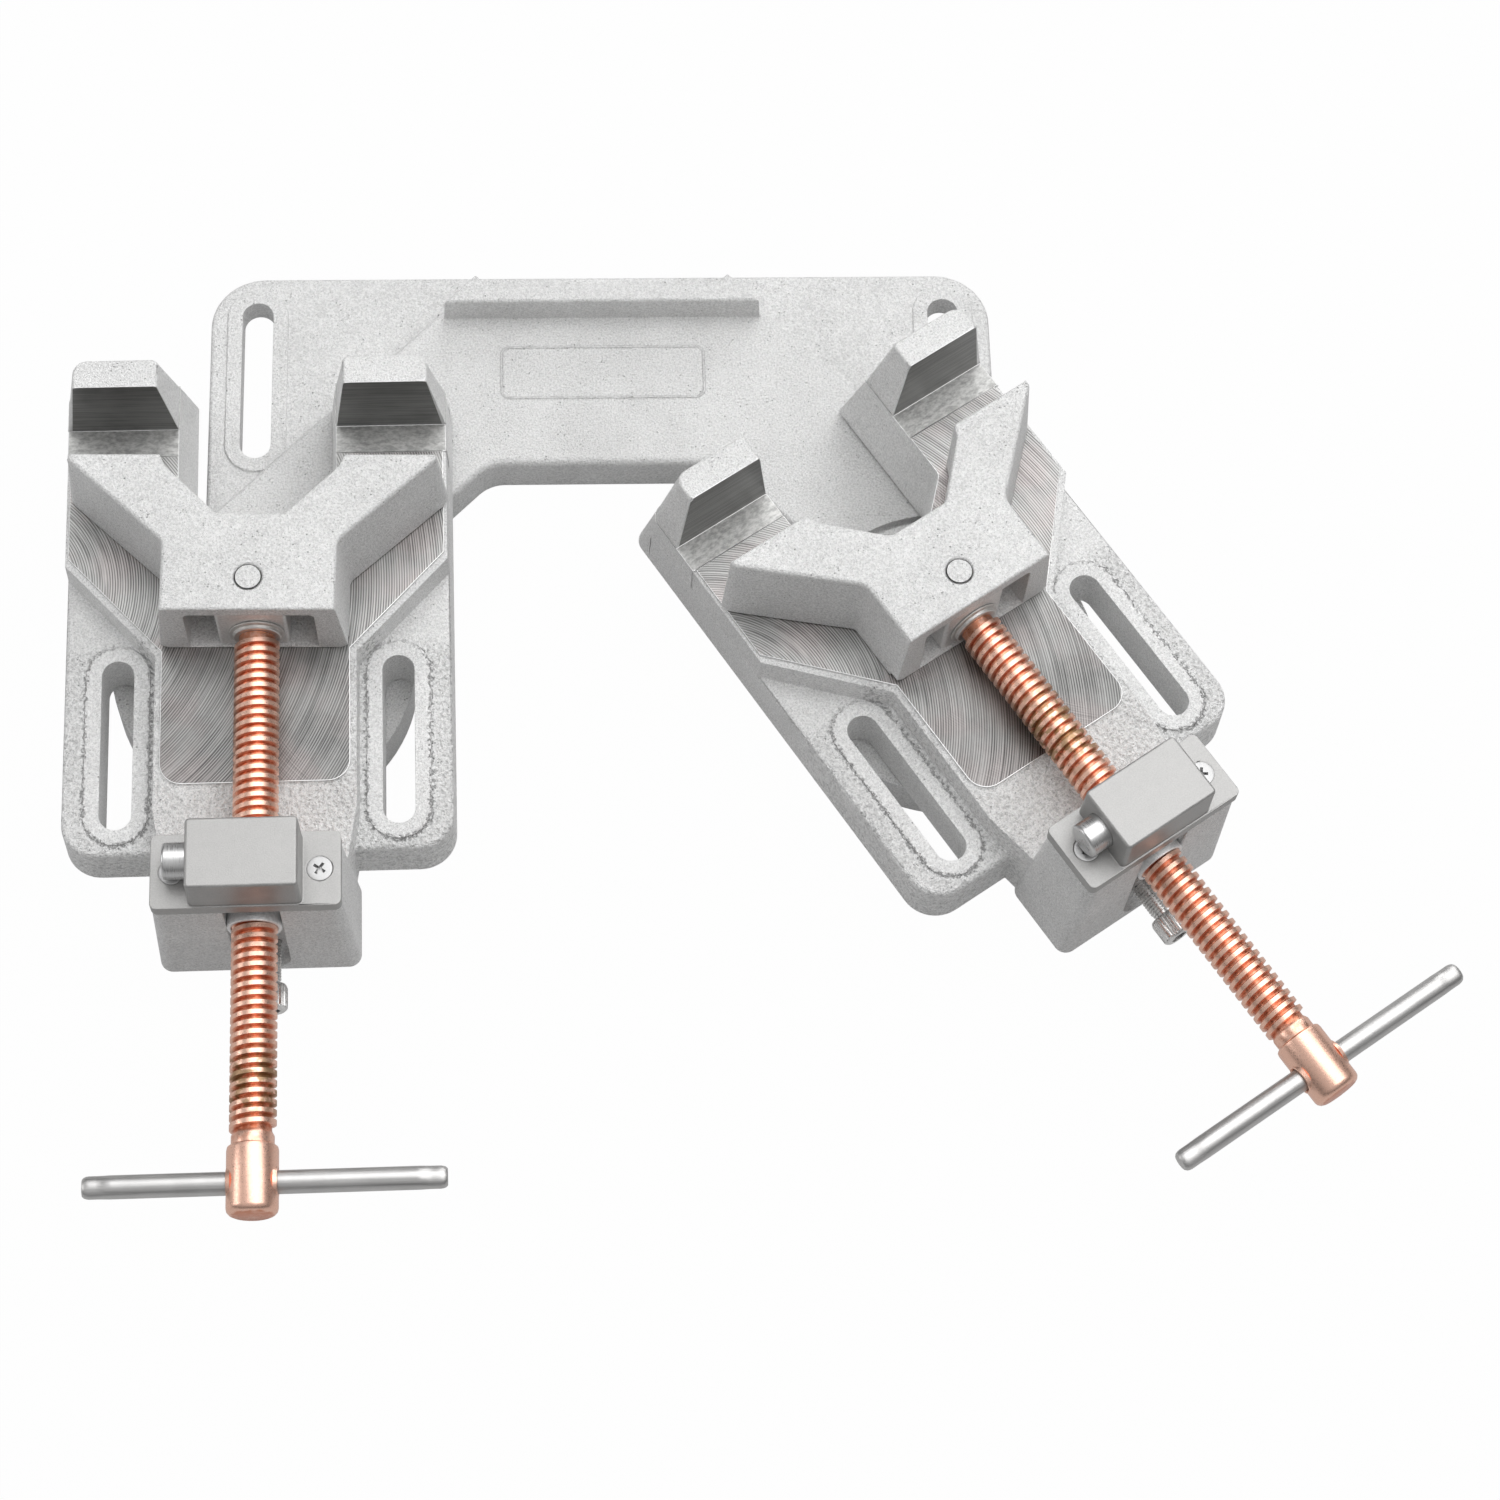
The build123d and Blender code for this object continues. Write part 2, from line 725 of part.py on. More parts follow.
def nut_cover():
    length = housing_top_back - housing_front
    plate = Pos(0, housing_front + length / 2) * RectangleRounded(2 * flange_half, length, flange_corner_r)
    cover = prism(plate, housing_top, flange_top)
    hat_length = hat_back - hat_front
    hat = Pos(0, hat_front + hat_length / 2) * RectangleRounded(2 * hat_half, hat_length, hat_corner_r)
    shell = prism(hat, flange_top - overlap, hat_top, hat_draft)
    shell = fillet(shell.faces().sort_by(Axis.Z)[-1].edges(), hat_edge_r)
    cover += shell
    inside_low = (-hat_half + hat_wall, hat_front + hat_wall, housing_top - overlap)
    cover -= block(inside_low, (hat_half - hat_wall, hat_back - hat_wall, hat_top - hat_wall))
    cover -= cross_rod(button_r + button_play, -2 * hat_half, 0, button_y, button_height)
    for side in (-1, 1):
        x = side * screw_x
        cover -= post(screw_r + fit_play, housing_top - overlap, flange_top, x, screw_y)
        cover -= screw_head(x, fit_play)
    return cover


def screw_head(x, play):
    """Countersunk head, flush with the flange."""
    height = screw_head_height + play
    cone = Cone(screw_r + play, screw_head_r + play, height)
    return Pos(x, screw_y, flange_top - height / 2) * cone


def cover_screws():
    screws = []
    for side in (-1, 1):
        shank = post(screw_r, flange_top - screw_length, flange_top - overlap, side * screw_x, screw_y)
        screws.append(shank + screw_head(side * screw_x, 0.0))
    return Compound(children=screws)


# Swivel bolt and swivel lock

def pivot_bolt():
    seat = bolt_bore_depth - block_gap - washer_thickness
    shank = post(bolt_r, seat, bolt_end)
    head = post(bolt_head_r, seat - bolt_head_height, seat)
    foot = seat - bolt_head_height
    socket = prism(hexagon(bolt_socket_across), foot - overlap, foot + bolt_socket_depth)
    return shank + head - socket


def pivot_washer():
    top = bolt_bore_depth - block_gap
    ring = post(washer_r, top - washer_thickness, top)
    return ring - post(bolt_r + washer_play, 0, top + overlap)


def lock_pad():
    start = -hub_r - lock_gap
    return rod(lock_r, start, start - lock_pad_length, lock_z)


def lock_screw():
    start = -hub_r - lock_gap - lock_pad_length - lock_pad_gap
    shank = rod(lock_r, start, lock_head_y - overlap, lock_z)
    head_end_y = lock_head_y - lock_head_height
    head = rod(lock_head_r, lock_head_y, head_end_y, lock_z)
    tool = Plane(origin=(0, head_end_y - overlap, lock_z), z_dir=(0, 1, 0)) * hexagon(lock_socket_across)
    return shank + head - extrude(tool, amount=overlap + lock_socket_depth)


def tilted(part, tilt):
    """Turns a jaw on its pin."""
    return Pos(0, pin_y, 0) * Rot(0, 0, tilt) * Pos(0, -pin_y, 0) * part


to_origin = Pos(0, -slot_middle, 0)
export_step(to_origin * base_plate(), "parts/base_plate.step")

shared = {
    "jaw_pin": jaw_pin(),
    "release_button": release_button(),
    "button_spring": button_spring(),
    "nut_cover": nut_cover(),
    "cover_screws": cover_screws(),
    "pivot_bolt": pivot_bolt(),
    "pivot_washer": pivot_washer(),
}
on_spindle_line = {
    "nut_bush": nut_bush(),
    "thrust_collar": thrust_collar(),
    "retaining_clip": retaining_clip(),
    "spindle": spindle(),
}
on_lock_line = {"lock_pad": lock_pad(), "lock_screw": lock_screw()}
jaw = moving_jaw()


def export_head(side, pivot, yaw, tilt, spindle_x, lock_x, bar_offset):
    """Writes every piece of one vise, turned on its pivot as it stands at rest."""
    pieces = dict(shared)
    for name, piece in on_spindle_line.items():
        pieces[name] = Pos(spindle_x, 0, 0) * piece
    for name, piece in on_lock_line.items():
        pieces[name] = Pos(lock_x, 0, 0) * piece
    pieces["vise_body"] = vise_body(spindle_x, lock_x)
    pieces["spindle_block"] = spindle_block(spindle_x)
    pieces["half_nut"] = half_nut(spindle_x)
    pieces["moving_jaw"] = tilted(jaw, tilt)
    pieces["tommy_bar"] = Pos(spindle_x, 0, 0) * tommy_bar(bar_offset)
    place = to_origin * Pos(pivot, 0, 0) * Rot(0, 0, yaw)
    for name, piece in pieces.items():
        export_step(place * piece, f"parts/{side}_{name}.step")


export_head(
    "left", -pivot_x, left_yaw, left_jaw_tilt, left_spindle_x, left_lock_x, bar_offset_left
)
export_head(
    "right", pivot_x, right_yaw, right_jaw_tilt, right_spindle_x, right_lock_x, bar_offset_right
)
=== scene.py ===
# %% [markdown]
# # A corner welding vise
# Two screw clamps stand on one cast bridge plate. Each clamp turns on a pivot, so that two tubes can be
# held at a corner of any usual angle while they are welded.
# The solid model comes in as a fixed frame: it says where every piece goes. This lesson dresses that
# frame. Castings get soft edges and a blasted skin, machined faces get tool marks, and the screws get
# real threads.

# %% Load the frame
import math

import bmesh
import bpy
from mathutils import Matrix, Vector
from mathutils.bvhtree import BVHTree


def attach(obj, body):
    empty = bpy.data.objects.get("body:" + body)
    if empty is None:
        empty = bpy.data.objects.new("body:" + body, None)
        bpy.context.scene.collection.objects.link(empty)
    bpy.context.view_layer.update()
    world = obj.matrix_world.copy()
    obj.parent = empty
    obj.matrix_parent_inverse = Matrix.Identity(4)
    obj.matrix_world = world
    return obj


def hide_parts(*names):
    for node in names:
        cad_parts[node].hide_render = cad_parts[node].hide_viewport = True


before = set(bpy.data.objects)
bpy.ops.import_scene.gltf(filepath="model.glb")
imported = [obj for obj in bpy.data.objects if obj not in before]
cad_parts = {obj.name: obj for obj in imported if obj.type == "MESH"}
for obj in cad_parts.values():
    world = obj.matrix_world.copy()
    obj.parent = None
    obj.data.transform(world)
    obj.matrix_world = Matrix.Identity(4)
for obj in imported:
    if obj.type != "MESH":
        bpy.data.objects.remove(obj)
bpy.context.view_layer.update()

MM = 0.001
print("pieces in the frame:", len(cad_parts))

# %% [markdown]
# ## Where things stand
# All measures below are in millimetres in the maker's own axes of one clamp: the pivot is the zero, Y runs
# along the spindle towards the fixed fingers, and Z is the height above the table. One matrix for each
# clamp then carries them to their place. That is easier to follow than world places for turned parts.

# %% The places of the two clamps
PIVOT_TO_SLOTS = 106.15
PLACES = {
    "left": {"pivot": -110.0, "turn": 0.8, "spindle_x": 1.3, "lock_x": 4.0, "bar_shift": 3.8},
    "right": {"pivot": 110.0, "turn": 33.2, "spindle_x": 0.0, "lock_x": 0.0, "bar_shift": 0.5},
    "plate": {"pivot": 0.0, "turn": 0.0},
}
SIDES = ("left", "right")
SPINDLE_Z = 57.0
BAR_Y = -182.7
LOCK_Z = 28.0


def place_of(side):
    """Millimetres in a clamp's own axes to metres on the table."""
    spot = PLACES[side]
    shift = Matrix.Translation((spot["pivot"] * MM, -PIVOT_TO_SLOTS * MM, 0.0))
    turn = Matrix.Rotation(math.radians(spot["turn"]), 4, "Z")
    return shift @ turn @ Matrix.Scale(MM, 4)


for side in SIDES:
    on_axis = Vector((PLACES[side]["spindle_x"], 0.0, SPINDLE_Z))
    print(side, "spindle stands above its pivot at", place_of(side) @ on_axis)

# %% [markdown]
# ## Building shader trees with few words
# Each finish is a small tree of nodes. A few helpers keep the trees readable: they add a node, do
# arithmetic, blend colours, and give coordinates in the clamp's own millimetres. Using the maker's axes
# means that a tool mark that runs along the jaw runs along it on both clamps.

# %% Nodes and arithmetic
def add(tree, kind, inputs=None, **settings):
    """Adds a node. An input takes a plain value or the output of another node."""
    made = tree.nodes.new(kind)
    for key, value in settings.items():
        setattr(made, key, value)
    for key, value in (inputs or {}).items():
        if isinstance(value, bpy.types.NodeSocket):
            tree.links.new(value, made.inputs[key])
        else:
            made.inputs[key].default_value = value
    return made


def calc(tree, operation, a, b=0.0, clamp=False):
    return add(tree, "ShaderNodeMath", {0: a, 1: b}, operation=operation, use_clamp=clamp).outputs[0]


def plus(tree, total, *others):
    for value in others:
        total = calc(tree, "ADD", total, value)
    return total


def times(tree, product, *others):
    for value in others:
        product = calc(tree, "MULTIPLY", product, value)
    return product


def minus(tree, a, b):
    return calc(tree, "SUBTRACT", a, b)


def length(tree, x, y):
    return calc(tree, "SQRT", plus(tree, times(tree, x, x), times(tree, y, y)))


def ease(tree, value, low, high, out_low=0.0, out_high=1.0):
    """Smooth step from out_low to out_high while value goes from low to high."""
    inputs = {"Value": value, "From Min": low, "From Max": high, "To Min": out_low, "To Max": out_high}
    return add(tree, "ShaderNodeMapRange", inputs, interpolation_type="SMOOTHSTEP").outputs["Result"]


def vary(tree, cloud, low, high):
    """Spreads a noise over low to high. Nearly all of a noise lies between 0.3 and 0.7."""
    return ease(tree, cloud, 0.3, 0.7, low, high)


print("arithmetic ready")


# %% Colours, coordinates and relief
def blend(tree, amount, first, second, how="MIX"):
    inputs = {0: amount, 6: first, 7: second}
    return add(tree, "ShaderNodeMix", inputs, data_type="RGBA", blend_type=how).outputs[2]


def tinted(tree, level, red=1.0, blue=1.0):
    """A grey of this level, with its red and blue a little stronger or weaker."""
    inputs = {"Red": times(tree, level, red), "Green": level, "Blue": times(tree, level, blue)}
    return add(tree, "ShaderNodeCombineColor", inputs).outputs[0]


def grey(level, warmth=0.0):
    return (level * (1.0 + warmth), level, level * (1.0 - warmth), 1.0)


def apart(tree, where):
    """The X, Y and Z of a coordinate."""
    return add(tree, "ShaderNodeSeparateXYZ", {0: where}).outputs


def maker_mm(tree, side, offset=(0.0, 0.0, 0.0), stretch=None):
    """Coordinates in a clamp's own millimetres, moved by offset and then stretched."""
    spot = PLACES[side]
    turn = -math.radians(spot["turn"])
    pivot = Vector((spot["pivot"], -PIVOT_TO_SLOTS, 0.0))
    inputs = {
        "Vector": add(tree, "ShaderNodeTexCoord").outputs["Object"],
        "Scale": (1.0 / MM, 1.0 / MM, 1.0 / MM),
        "Rotation": (0.0, 0.0, turn),
        "Location": -(Matrix.Rotation(turn, 3, "Z") @ pivot) - Vector(offset),
    }
    moved = add(tree, "ShaderNodeMapping", inputs, vector_type="POINT").outputs[0]
    if stretch is None:
        return moved
    return add(tree, "ShaderNodeMapping", {"Vector": moved, "Scale": stretch}).outputs[0]


def noise(tree, where, scale, detail, rough=0.5):
    inputs = {"Vector": where, "Scale": scale, "Detail": detail, "Roughness": rough}
    return add(tree, "ShaderNodeTexNoise", inputs).outputs["Fac"]


def emboss(tree, shader, height, depth_mm, strength):
    inputs = {"Height": height, "Distance": depth_mm * MM, "Strength": strength}
    tree.links.new(add(tree, "ShaderNodeBump", inputs).outputs[0], shader.inputs["Normal"])


def finish_base(name):
    made = bpy.data.materials.new(name)
    made.use_nodes = True
    return made, made.node_tree, made.node_tree.nodes["Principled BSDF"]


def dress(tree, shader, colour, rough, metal):
    """Gives a shader its colour and roughness from nodes, and says how metallic it is."""
    tree.links.new(colour, shader.inputs["Base Color"])
    tree.links.new(rough, shader.inputs["Roughness"])
    shader.inputs["Metallic"].default_value = metal


print("helpers ready")

# %% [markdown]
# ## The blasted cast skin
# The castings are aluminium, tumbled and bead blasted after casting. Blasting leaves a pale, even skin of
# tiny craters about a millimetre across. Round the lugs and the housing the mould was coarser, and the skin
# there looks hammered. Sand or gas leaves a few darker pits. The skin could be sculpted, but millions of
# craters are cheaper as a bump map: one noise for the craters, one for the hammered part, one Voronoi for
# the pits, and one broad noise for the faint clouds of tone that blasting leaves.

# %% Cast skin
CRATERS_PER_MM, SPECKS_PER_MM, CLOUDS_PER_MM = 1.5, 2.6, 0.035
PITS_PER_MM, PIT_PATCHES_PER_MM = 0.62, 0.19
LUG_SLOT_X = 43.8
LUG_SLOT_MIDDLE = -35.1
LUG_SLOT_STRAIGHT = 23.3
LAND_REACH = 10.0
LAND_WAVER = 0.8
LAND_BLUR = 0.4
HAMMER_FRONT = (-81.0, -74.0)
HAMMER_BACK = (-8.0, 3.0)
DENTS_PER_MM, DENT_DEPTH, RIM_DARK = 0.7, 3.0, 0.36
PIT_DARK, PIT_DEPTH = 0.34, 0.8
CAST_DEPTH = 0.55


def slot_land(tree, where):
    """How far a point lies from the middle line of the nearer lug slot, in millimetres."""
    spot = apart(tree, where)
    across = minus(tree, calc(tree, "ABSOLUTE", spot["X"]), LUG_SLOT_X)
    from_middle = calc(tree, "ABSOLUTE", minus(tree, spot["Y"], LUG_SLOT_MIDDLE))
    past = calc(tree, "MAXIMUM", minus(tree, from_middle, LUG_SLOT_STRAIGHT), 0.0)
    return length(tree, across, past)


def hammer_marks(tree, where, level, height):
    """Dents on the lugs and round the housing, with painted light: lighter on the bumps and painted shade
    in the hollows. The smooth land of each slot has a dark, wavering rim.
    """
    dents = noise(tree, where, DENTS_PER_MM, 3.0, 0.6)
    along = apart(tree, where)["Y"]
    reach = plus(tree, slot_land(tree, where), vary(tree, dents, -LAND_WAVER, LAND_WAVER))
    off_land = ease(tree, reach, LAND_REACH - LAND_BLUR, LAND_REACH + LAND_BLUR)
    rough = times(tree, ease(tree, along, *HAMMER_BACK, 1.0, 0.0), off_land, ease(tree, along, *HAMMER_FRONT))
    # Painted light and shade on the dents: the colour follows their height, lighter on the bumps and darker
    # in the hollows.
    level = plus(tree, level, times(tree, rough, ease(tree, dents, 0.34, 0.58, -0.09, 0.12)))
    from_rim = calc(tree, "ABSOLUTE", minus(tree, reach, LAND_REACH))
    rim = minus(tree, 1.0, calc(tree, "MINIMUM", from_rim, 1.0))
    level = minus(tree, level, times(tree, rim, rough, RIM_DARK))
    return level, plus(tree, height, times(tree, rough, times(tree, dents, DENT_DEPTH)))


def cast_skin(side, name, tone, hammered=False):
    made, tree, shader = finish_base(f"{side}_{name}")
    where = maker_mm(tree, side)
    craters = noise(tree, where, CRATERS_PER_MM, 3.0, 0.65)
    specks = noise(tree, where, SPECKS_PER_MM, 2.0, 0.55)
    clouds = noise(tree, where, CLOUDS_PER_MM, 3.0, 0.55)
    cell_inputs = {"Vector": where, "Scale": PITS_PER_MM, "Randomness": 1.0}
    cells = add(tree, "ShaderNodeTexVoronoi", cell_inputs, feature="F1").outputs["Distance"]
    rare = ease(tree, noise(tree, where, PIT_PATCHES_PER_MM, 1.0), 0.52, 0.6)
    pit = times(tree, ease(tree, cells, 0.05, 0.2, 1.0, 0.0), rare)
    level = ease(tree, craters, 0.32, 0.68, tone * 0.84, tone * 1.14)
    level = times(tree, level, ease(tree, specks, 0.28, 0.46, 0.7, 1.0))
    level = plus(tree, level, vary(tree, clouds, -0.03, 0.03))
    level = minus(tree, level, times(tree, pit, PIT_DARK))
    height = plus(tree, craters, times(tree, specks, 0.3))
    height = minus(tree, height, times(tree, pit, PIT_DEPTH))
    if hammered:
        level, height = hammer_marks(tree, where, level, height)
    dress(tree, shader, tinted(tree, level, blue=0.996), vary(tree, specks, 0.42, 0.62), 0.4)
    emboss(tree, shader, height, CAST_DEPTH, 1.0)
    return made


CAST = {side: cast_skin(side, "blasted_casting", 0.81) for side in SIDES}
CAST["plate"] = cast_skin("plate", "blasted_casting", 0.76)
CAST_BODY = {side: cast_skin(side, "hammered_casting", 0.83, hammered=True) for side in SIDES}
print("cast skins:", len(CAST) + len(CAST_BODY))

# %% [markdown]
# ## Machined faces
# After casting, a face mill cuts the bed that the jaw slides on. Its teeth leave arcs that cross each
# other, one set from the way in and one from the way out. The finger faces are cut with the side of a
# mill, which leaves fine straight lines. Noise in polar coordinates round the cutter's path makes the
# arcs, because real ones are unevenly spaced. A sine along the radius adds the even ridges of the feed,
# and a stretched noise makes the straight lines.

# %% Milled bed
FEED_LINES = 1.25
FEED_WAVER = 9.0
CUTTER_IN = (-84.0, 14.0)
CUTTER_OUT = (74.0, 10.0)
BED_PAINTED_LIGHT_Y = (-40.0, 8.0)


def cutter_arcs(tree, side, centre, lines_per_mm, turns):
    """Uneven arcs round a point: noise that is fine along the radius and slow round the turn."""
    spot = apart(tree, maker_mm(tree, side, offset=(*centre, 0.0)))
    radius = length(tree, spot["X"], spot["Y"])
    angle = calc(tree, "ARCTAN2", spot["Y"], spot["X"])
    inputs = {"X": times(tree, radius, lines_per_mm), "Y": times(tree, angle, turns)}
    uneven = noise(tree, add(tree, "ShaderNodeCombineXYZ", inputs).outputs[0], 1.0, 2.0, 0.6)
    feed = plus(tree, times(tree, radius, 2.0 * math.pi * FEED_LINES), times(tree, uneven, FEED_WAVER))
    ridges = times(tree, calc(tree, "SINE", feed), 0.12)
    return plus(tree, times(tree, uneven, 0.7), 0.15, ridges)


def milled_bed(side):
    made, tree, shader = finish_base(f"{side}_milled_bed")
    flat = maker_mm(tree, side)
    fine = cutter_arcs(tree, side, CUTTER_IN, 3.6, 1.6)
    coarse = cutter_arcs(tree, side, CUTTER_IN, 1.9, 2.0)
    crossing = cutter_arcs(tree, side, CUTTER_OUT, 3.0, 2.0)
    worn = noise(tree, flat, 0.045, 4.0, 0.62)
    crossed = ease(tree, noise(tree, flat, 0.035, 2.0), 0.54, 0.66, 0.03, 0.3)
    arcs = plus(tree, times(tree, fine, 0.72), times(tree, coarse, 0.28))
    arcs = plus(tree, times(tree, arcs, minus(tree, 1.0, crossed)), times(tree, crossing, crossed))
    level = ease(tree, arcs, 0.36, 0.64, 0.12, 0.37)
    # Painted light and shade: the bed is painted lighter towards the back, where the jaw shades it, and
    # darker towards the front.
    level = times(tree, level, ease(tree, apart(tree, flat)["Y"], *BED_PAINTED_LIGHT_Y, 0.78, 1.3))
    level = plus(tree, level, ease(tree, worn, 0.32, 0.68, -0.035, 0.055))
    warm = ease(tree, noise(tree, flat, 0.07, 3.0), 0.4, 0.7, 1.0, 1.07)
    dress(tree, shader, tinted(tree, level, red=warm, blue=0.985), vary(tree, worn, 0.36, 0.48), 0.85)
    emboss(tree, shader, arcs, 0.07, 0.8)
    return made


def milled_lines(side, name, along, tone, gloss):
    """Straight cutter lines. along holds how much the grain is stretched on each axis."""
    made, tree, shader = finish_base(f"{side}_{name}")
    streak = noise(tree, maker_mm(tree, side, stretch=along), 1.0, 4.0, 0.65)
    broad = noise(tree, maker_mm(tree, side), 0.08, 2.0)
    level = plus(tree, vary(tree, streak, tone * 0.72, tone * 1.28), vary(tree, broad, -0.03, 0.03))
    dress(tree, shader, tinted(tree, level, blue=0.98), vary(tree, broad, gloss, gloss + 0.12), 0.85)
    emboss(tree, shader, streak, 0.08, 0.6)
    return made


BED = {side: milled_bed(side) for side in SIDES}
STRIP = {side: milled_lines(side, "relief_strip", (0.5, 0.9, 1.0), 0.45, 0.42) for side in SIDES}
FACE = {side: milled_lines(side, "milled_face", (0.03, 0.5, 2.2), 0.22, 0.3) for side in SIDES}
FOOT = {side: milled_lines(side, "milled_foot", (0.05, 1.0, 3.0), 0.62, 0.25) for side in SIDES}
print("machined finishes:", len(BED) + len(STRIP) + len(FACE) + len(FOOT))

# %% [markdown]
# ## Bright burrs
# Where a cutter leaves the casting, a thin bright edge stays. It catches the light all round the bed and
# the slots. It is a narrow bevel with its own clean metal, so that it follows every border by itself.

# %% Burr metal
def clean_metal(name, tone, gloss, warmth=0.0, grain=None, side="plate", depth=0.006):
    made, tree, shader = finish_base(name)
    fine = noise(tree, maker_mm(tree, side, stretch=grain), 1.0, 3.0, 0.6)
    broad = noise(tree, maker_mm(tree, side), 0.11, 3.0, 0.6)
    shade = plus(tree, vary(tree, fine, 0.9, 1.06), vary(tree, broad, -0.05, 0.04))
    colour = blend(tree, 1.0, grey(tone, warmth), tinted(tree, shade), "MULTIPLY")
    dress(tree, shader, colour, vary(tree, fine, gloss, gloss + 0.14), 1.0)
    emboss(tree, shader, fine, depth, 0.5)
    return made


BURR = clean_metal("bright_burr", 0.78, 0.36)
print("made", BURR.name)

# %% [markdown]
# ## Copper, zinc and steel
# The spindles are copper plated, so that weld spatter doesn't stick. The plating is bright on the crests,
# and the roots are painted darker and redder as painted shade. It is olive where it has tarnished. The
# distance from the spindle's axis tells root from crest. The bars, blocks and screws are zinc plated, some
# bright and some dull, and the buttons are plain turned steel.

# %% Copper plating
# The root colour is painted shade in the thread's hollows; the crest colour is the plating's own.
SHADED_ROOT_COPPER = (0.68, 0.29, 0.18, 1.0)
CREST_COPPER = (0.95, 0.60, 0.47, 1.0)
PALE_COPPER = (0.95, 0.63, 0.51, 1.0)
TARNISH = (0.30, 0.20, 0.085, 1.0)
TARNISHED_Y = {
    "left": ((-168.0, -158.0), (-150.0, -138.0)),
    "right": ((-72.0, -60.0), (-46.0, -32.0)),
}


def copper_plate(side):
    made, tree, shader = finish_base(f"{side}_copper_plating")
    axis = (PLACES[side]["spindle_x"], 0.0, SPINDLE_Z)
    flat = maker_mm(tree, side, offset=axis, stretch=(1.0, 0.0, 1.0))
    reach = add(tree, "ShaderNodeVectorMath", {0: flat}, operation="LENGTH").outputs["Value"]
    where = maker_mm(tree, side)
    mottle = noise(tree, where, 0.45, 3.0, 0.6)
    fine = noise(tree, maker_mm(tree, side, stretch=(2.2, 2.2, 2.2)), 1.0, 2.0, 0.6)
    # Painted shade: the roots take the darker, redder colour and the crests the bright one.
    crest = ease(tree, plus(tree, reach, vary(tree, mottle, -0.35, 0.35)), 5.5, 6.6)
    colour = blend(tree, crest, SHADED_ROOT_COPPER, CREST_COPPER)
    colour = blend(tree, ease(tree, mottle, 0.45, 0.75, 0.0, 0.4), colour, PALE_COPPER)
    along = apart(tree, where)["Y"]
    starts, ends = TARNISHED_Y[side]
    patch = times(tree, ease(tree, along, *starts), ease(tree, along, *ends, 1.0, 0.0))
    stain = times(tree, patch, ease(tree, noise(tree, where, 0.22, 3.0, 0.6), 0.45, 0.58))
    colour = blend(tree, times(tree, stain, 0.75), colour, TARNISH)
    dress(tree, shader, colour, plus(tree, vary(tree, fine, 0.26, 0.4), times(tree, stain, 0.15)), 1.0)
    emboss(tree, shader, fine, 0.05, 0.45)
    return made


COPPER = {side: copper_plate(side) for side in SIDES}
print("copper:", [made.name for made in COPPER.values()])


# %% Zinc, steel and the satin cover
def metal_pair(name, tone, gloss, warmth, grain, depth=0.006):
    """The same metal in the axes of each clamp, so that its grain follows the piece."""
    return {side: clean_metal(f"{side}_{name}", tone, gloss, warmth, grain, side, depth) for side in SIDES}


ZINC_BAR = metal_pair("ground_bar", 0.6, 0.34, 0.01, (0.03, 1.6, 1.6), 0.02)
ZINC = metal_pair("bright_zinc", 0.78, 0.2, 0.012, (0.8, 0.8, 0.8))
GOLDEN_ZINC = metal_pair("yellow_zinc", 0.74, 0.4, 0.03, (0.7, 0.7, 0.7))
DULL_ZINC = metal_pair("dull_zinc", 0.92, 0.5, 0.01, (1.4, 1.4, 1.4))
SCREW_ZINC = metal_pair("screw_zinc", 0.55, 0.4, 0.0, (1.4, 1.4, 1.4))
WHITE_ZINC = metal_pair("white_zinc", 0.9, 0.5, 0.0, (1.4, 1.4, 1.4))
TURNED = metal_pair("turned_steel", 0.66, 0.26, 0.0, (3.0, 0.25, 0.25), 0.03)
# Black oxide on the pivot bolts; on the rivet pins the same black is a seam of painted shade.
BLACK = clean_metal("black_oxide_and_seam_shade", 0.055, 0.38)
SPRING = clean_metal("spring_wire", 0.5, 0.25)
BRONZE = clean_metal("nut_bronze", 0.5, 0.3, 0.22)


def satin_cover(side):
    """Die-cast cover, tumbled smooth: darker and finer than the blasted body."""
    made, tree, shader = finish_base(f"{side}_satin_cover")
    where = maker_mm(tree, side)
    fine = noise(tree, where, 2.4, 3.0, 0.6)
    clouds = noise(tree, where, 0.09, 3.0, 0.6)
    level = plus(tree, vary(tree, fine, 0.38, 0.44), vary(tree, clouds, -0.035, 0.035))
    dress(tree, shader, tinted(tree, level, red=1.008, blue=0.985), vary(tree, clouds, 0.4, 0.5), 0.65)
    emboss(tree, shader, fine, 0.07, 0.6)
    return made


SATIN = {side: satin_cover(side) for side in SIDES}
print("finishes so far:", len(bpy.data.materials))

# %% [markdown]
# ## Softening a solid
# A solid model's edges are perfectly sharp, and real ones never are. Each casting is copied from the frame,
# its flat faces are joined into single faces, and every sharp edge is bevelled. A test on each face's place
# and direction says which cutter made it. Borders of machined faces get the burr metal, the others the
# skin that they lie in. A subdivided sculpt could round them too, but a bevel keeps the true size.

# %% From bmesh to a finished piece
SHARP = 33.0
FACE_WEIGHT = 80


def settle(name, bm, finishes, body, *nodes, smooth=SHARP, weighted=True):
    """Makes an object of a bmesh in metres, gives it its finishes and lets it ride on its body."""
    mesh = bpy.data.meshes.new(name)
    bmesh.ops.recalc_face_normals(bm, faces=bm.faces)
    bm.to_mesh(mesh)
    bm.free()
    for made in finishes:
        mesh.materials.append(made)
    mesh.shade_smooth()
    mesh.set_sharp_from_angle(angle=math.radians(smooth))
    piece = bpy.data.objects.new(name, mesh)
    bpy.context.scene.collection.objects.link(piece)
    if weighted:
        even = piece.modifiers.new("even_normals", "WEIGHTED_NORMAL")
        even.keep_sharp = True
        even.weight = FACE_WEIGHT
    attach(piece, body)
    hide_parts(*nodes)


print("edges sharper than", SHARP, "degrees stay crisp")

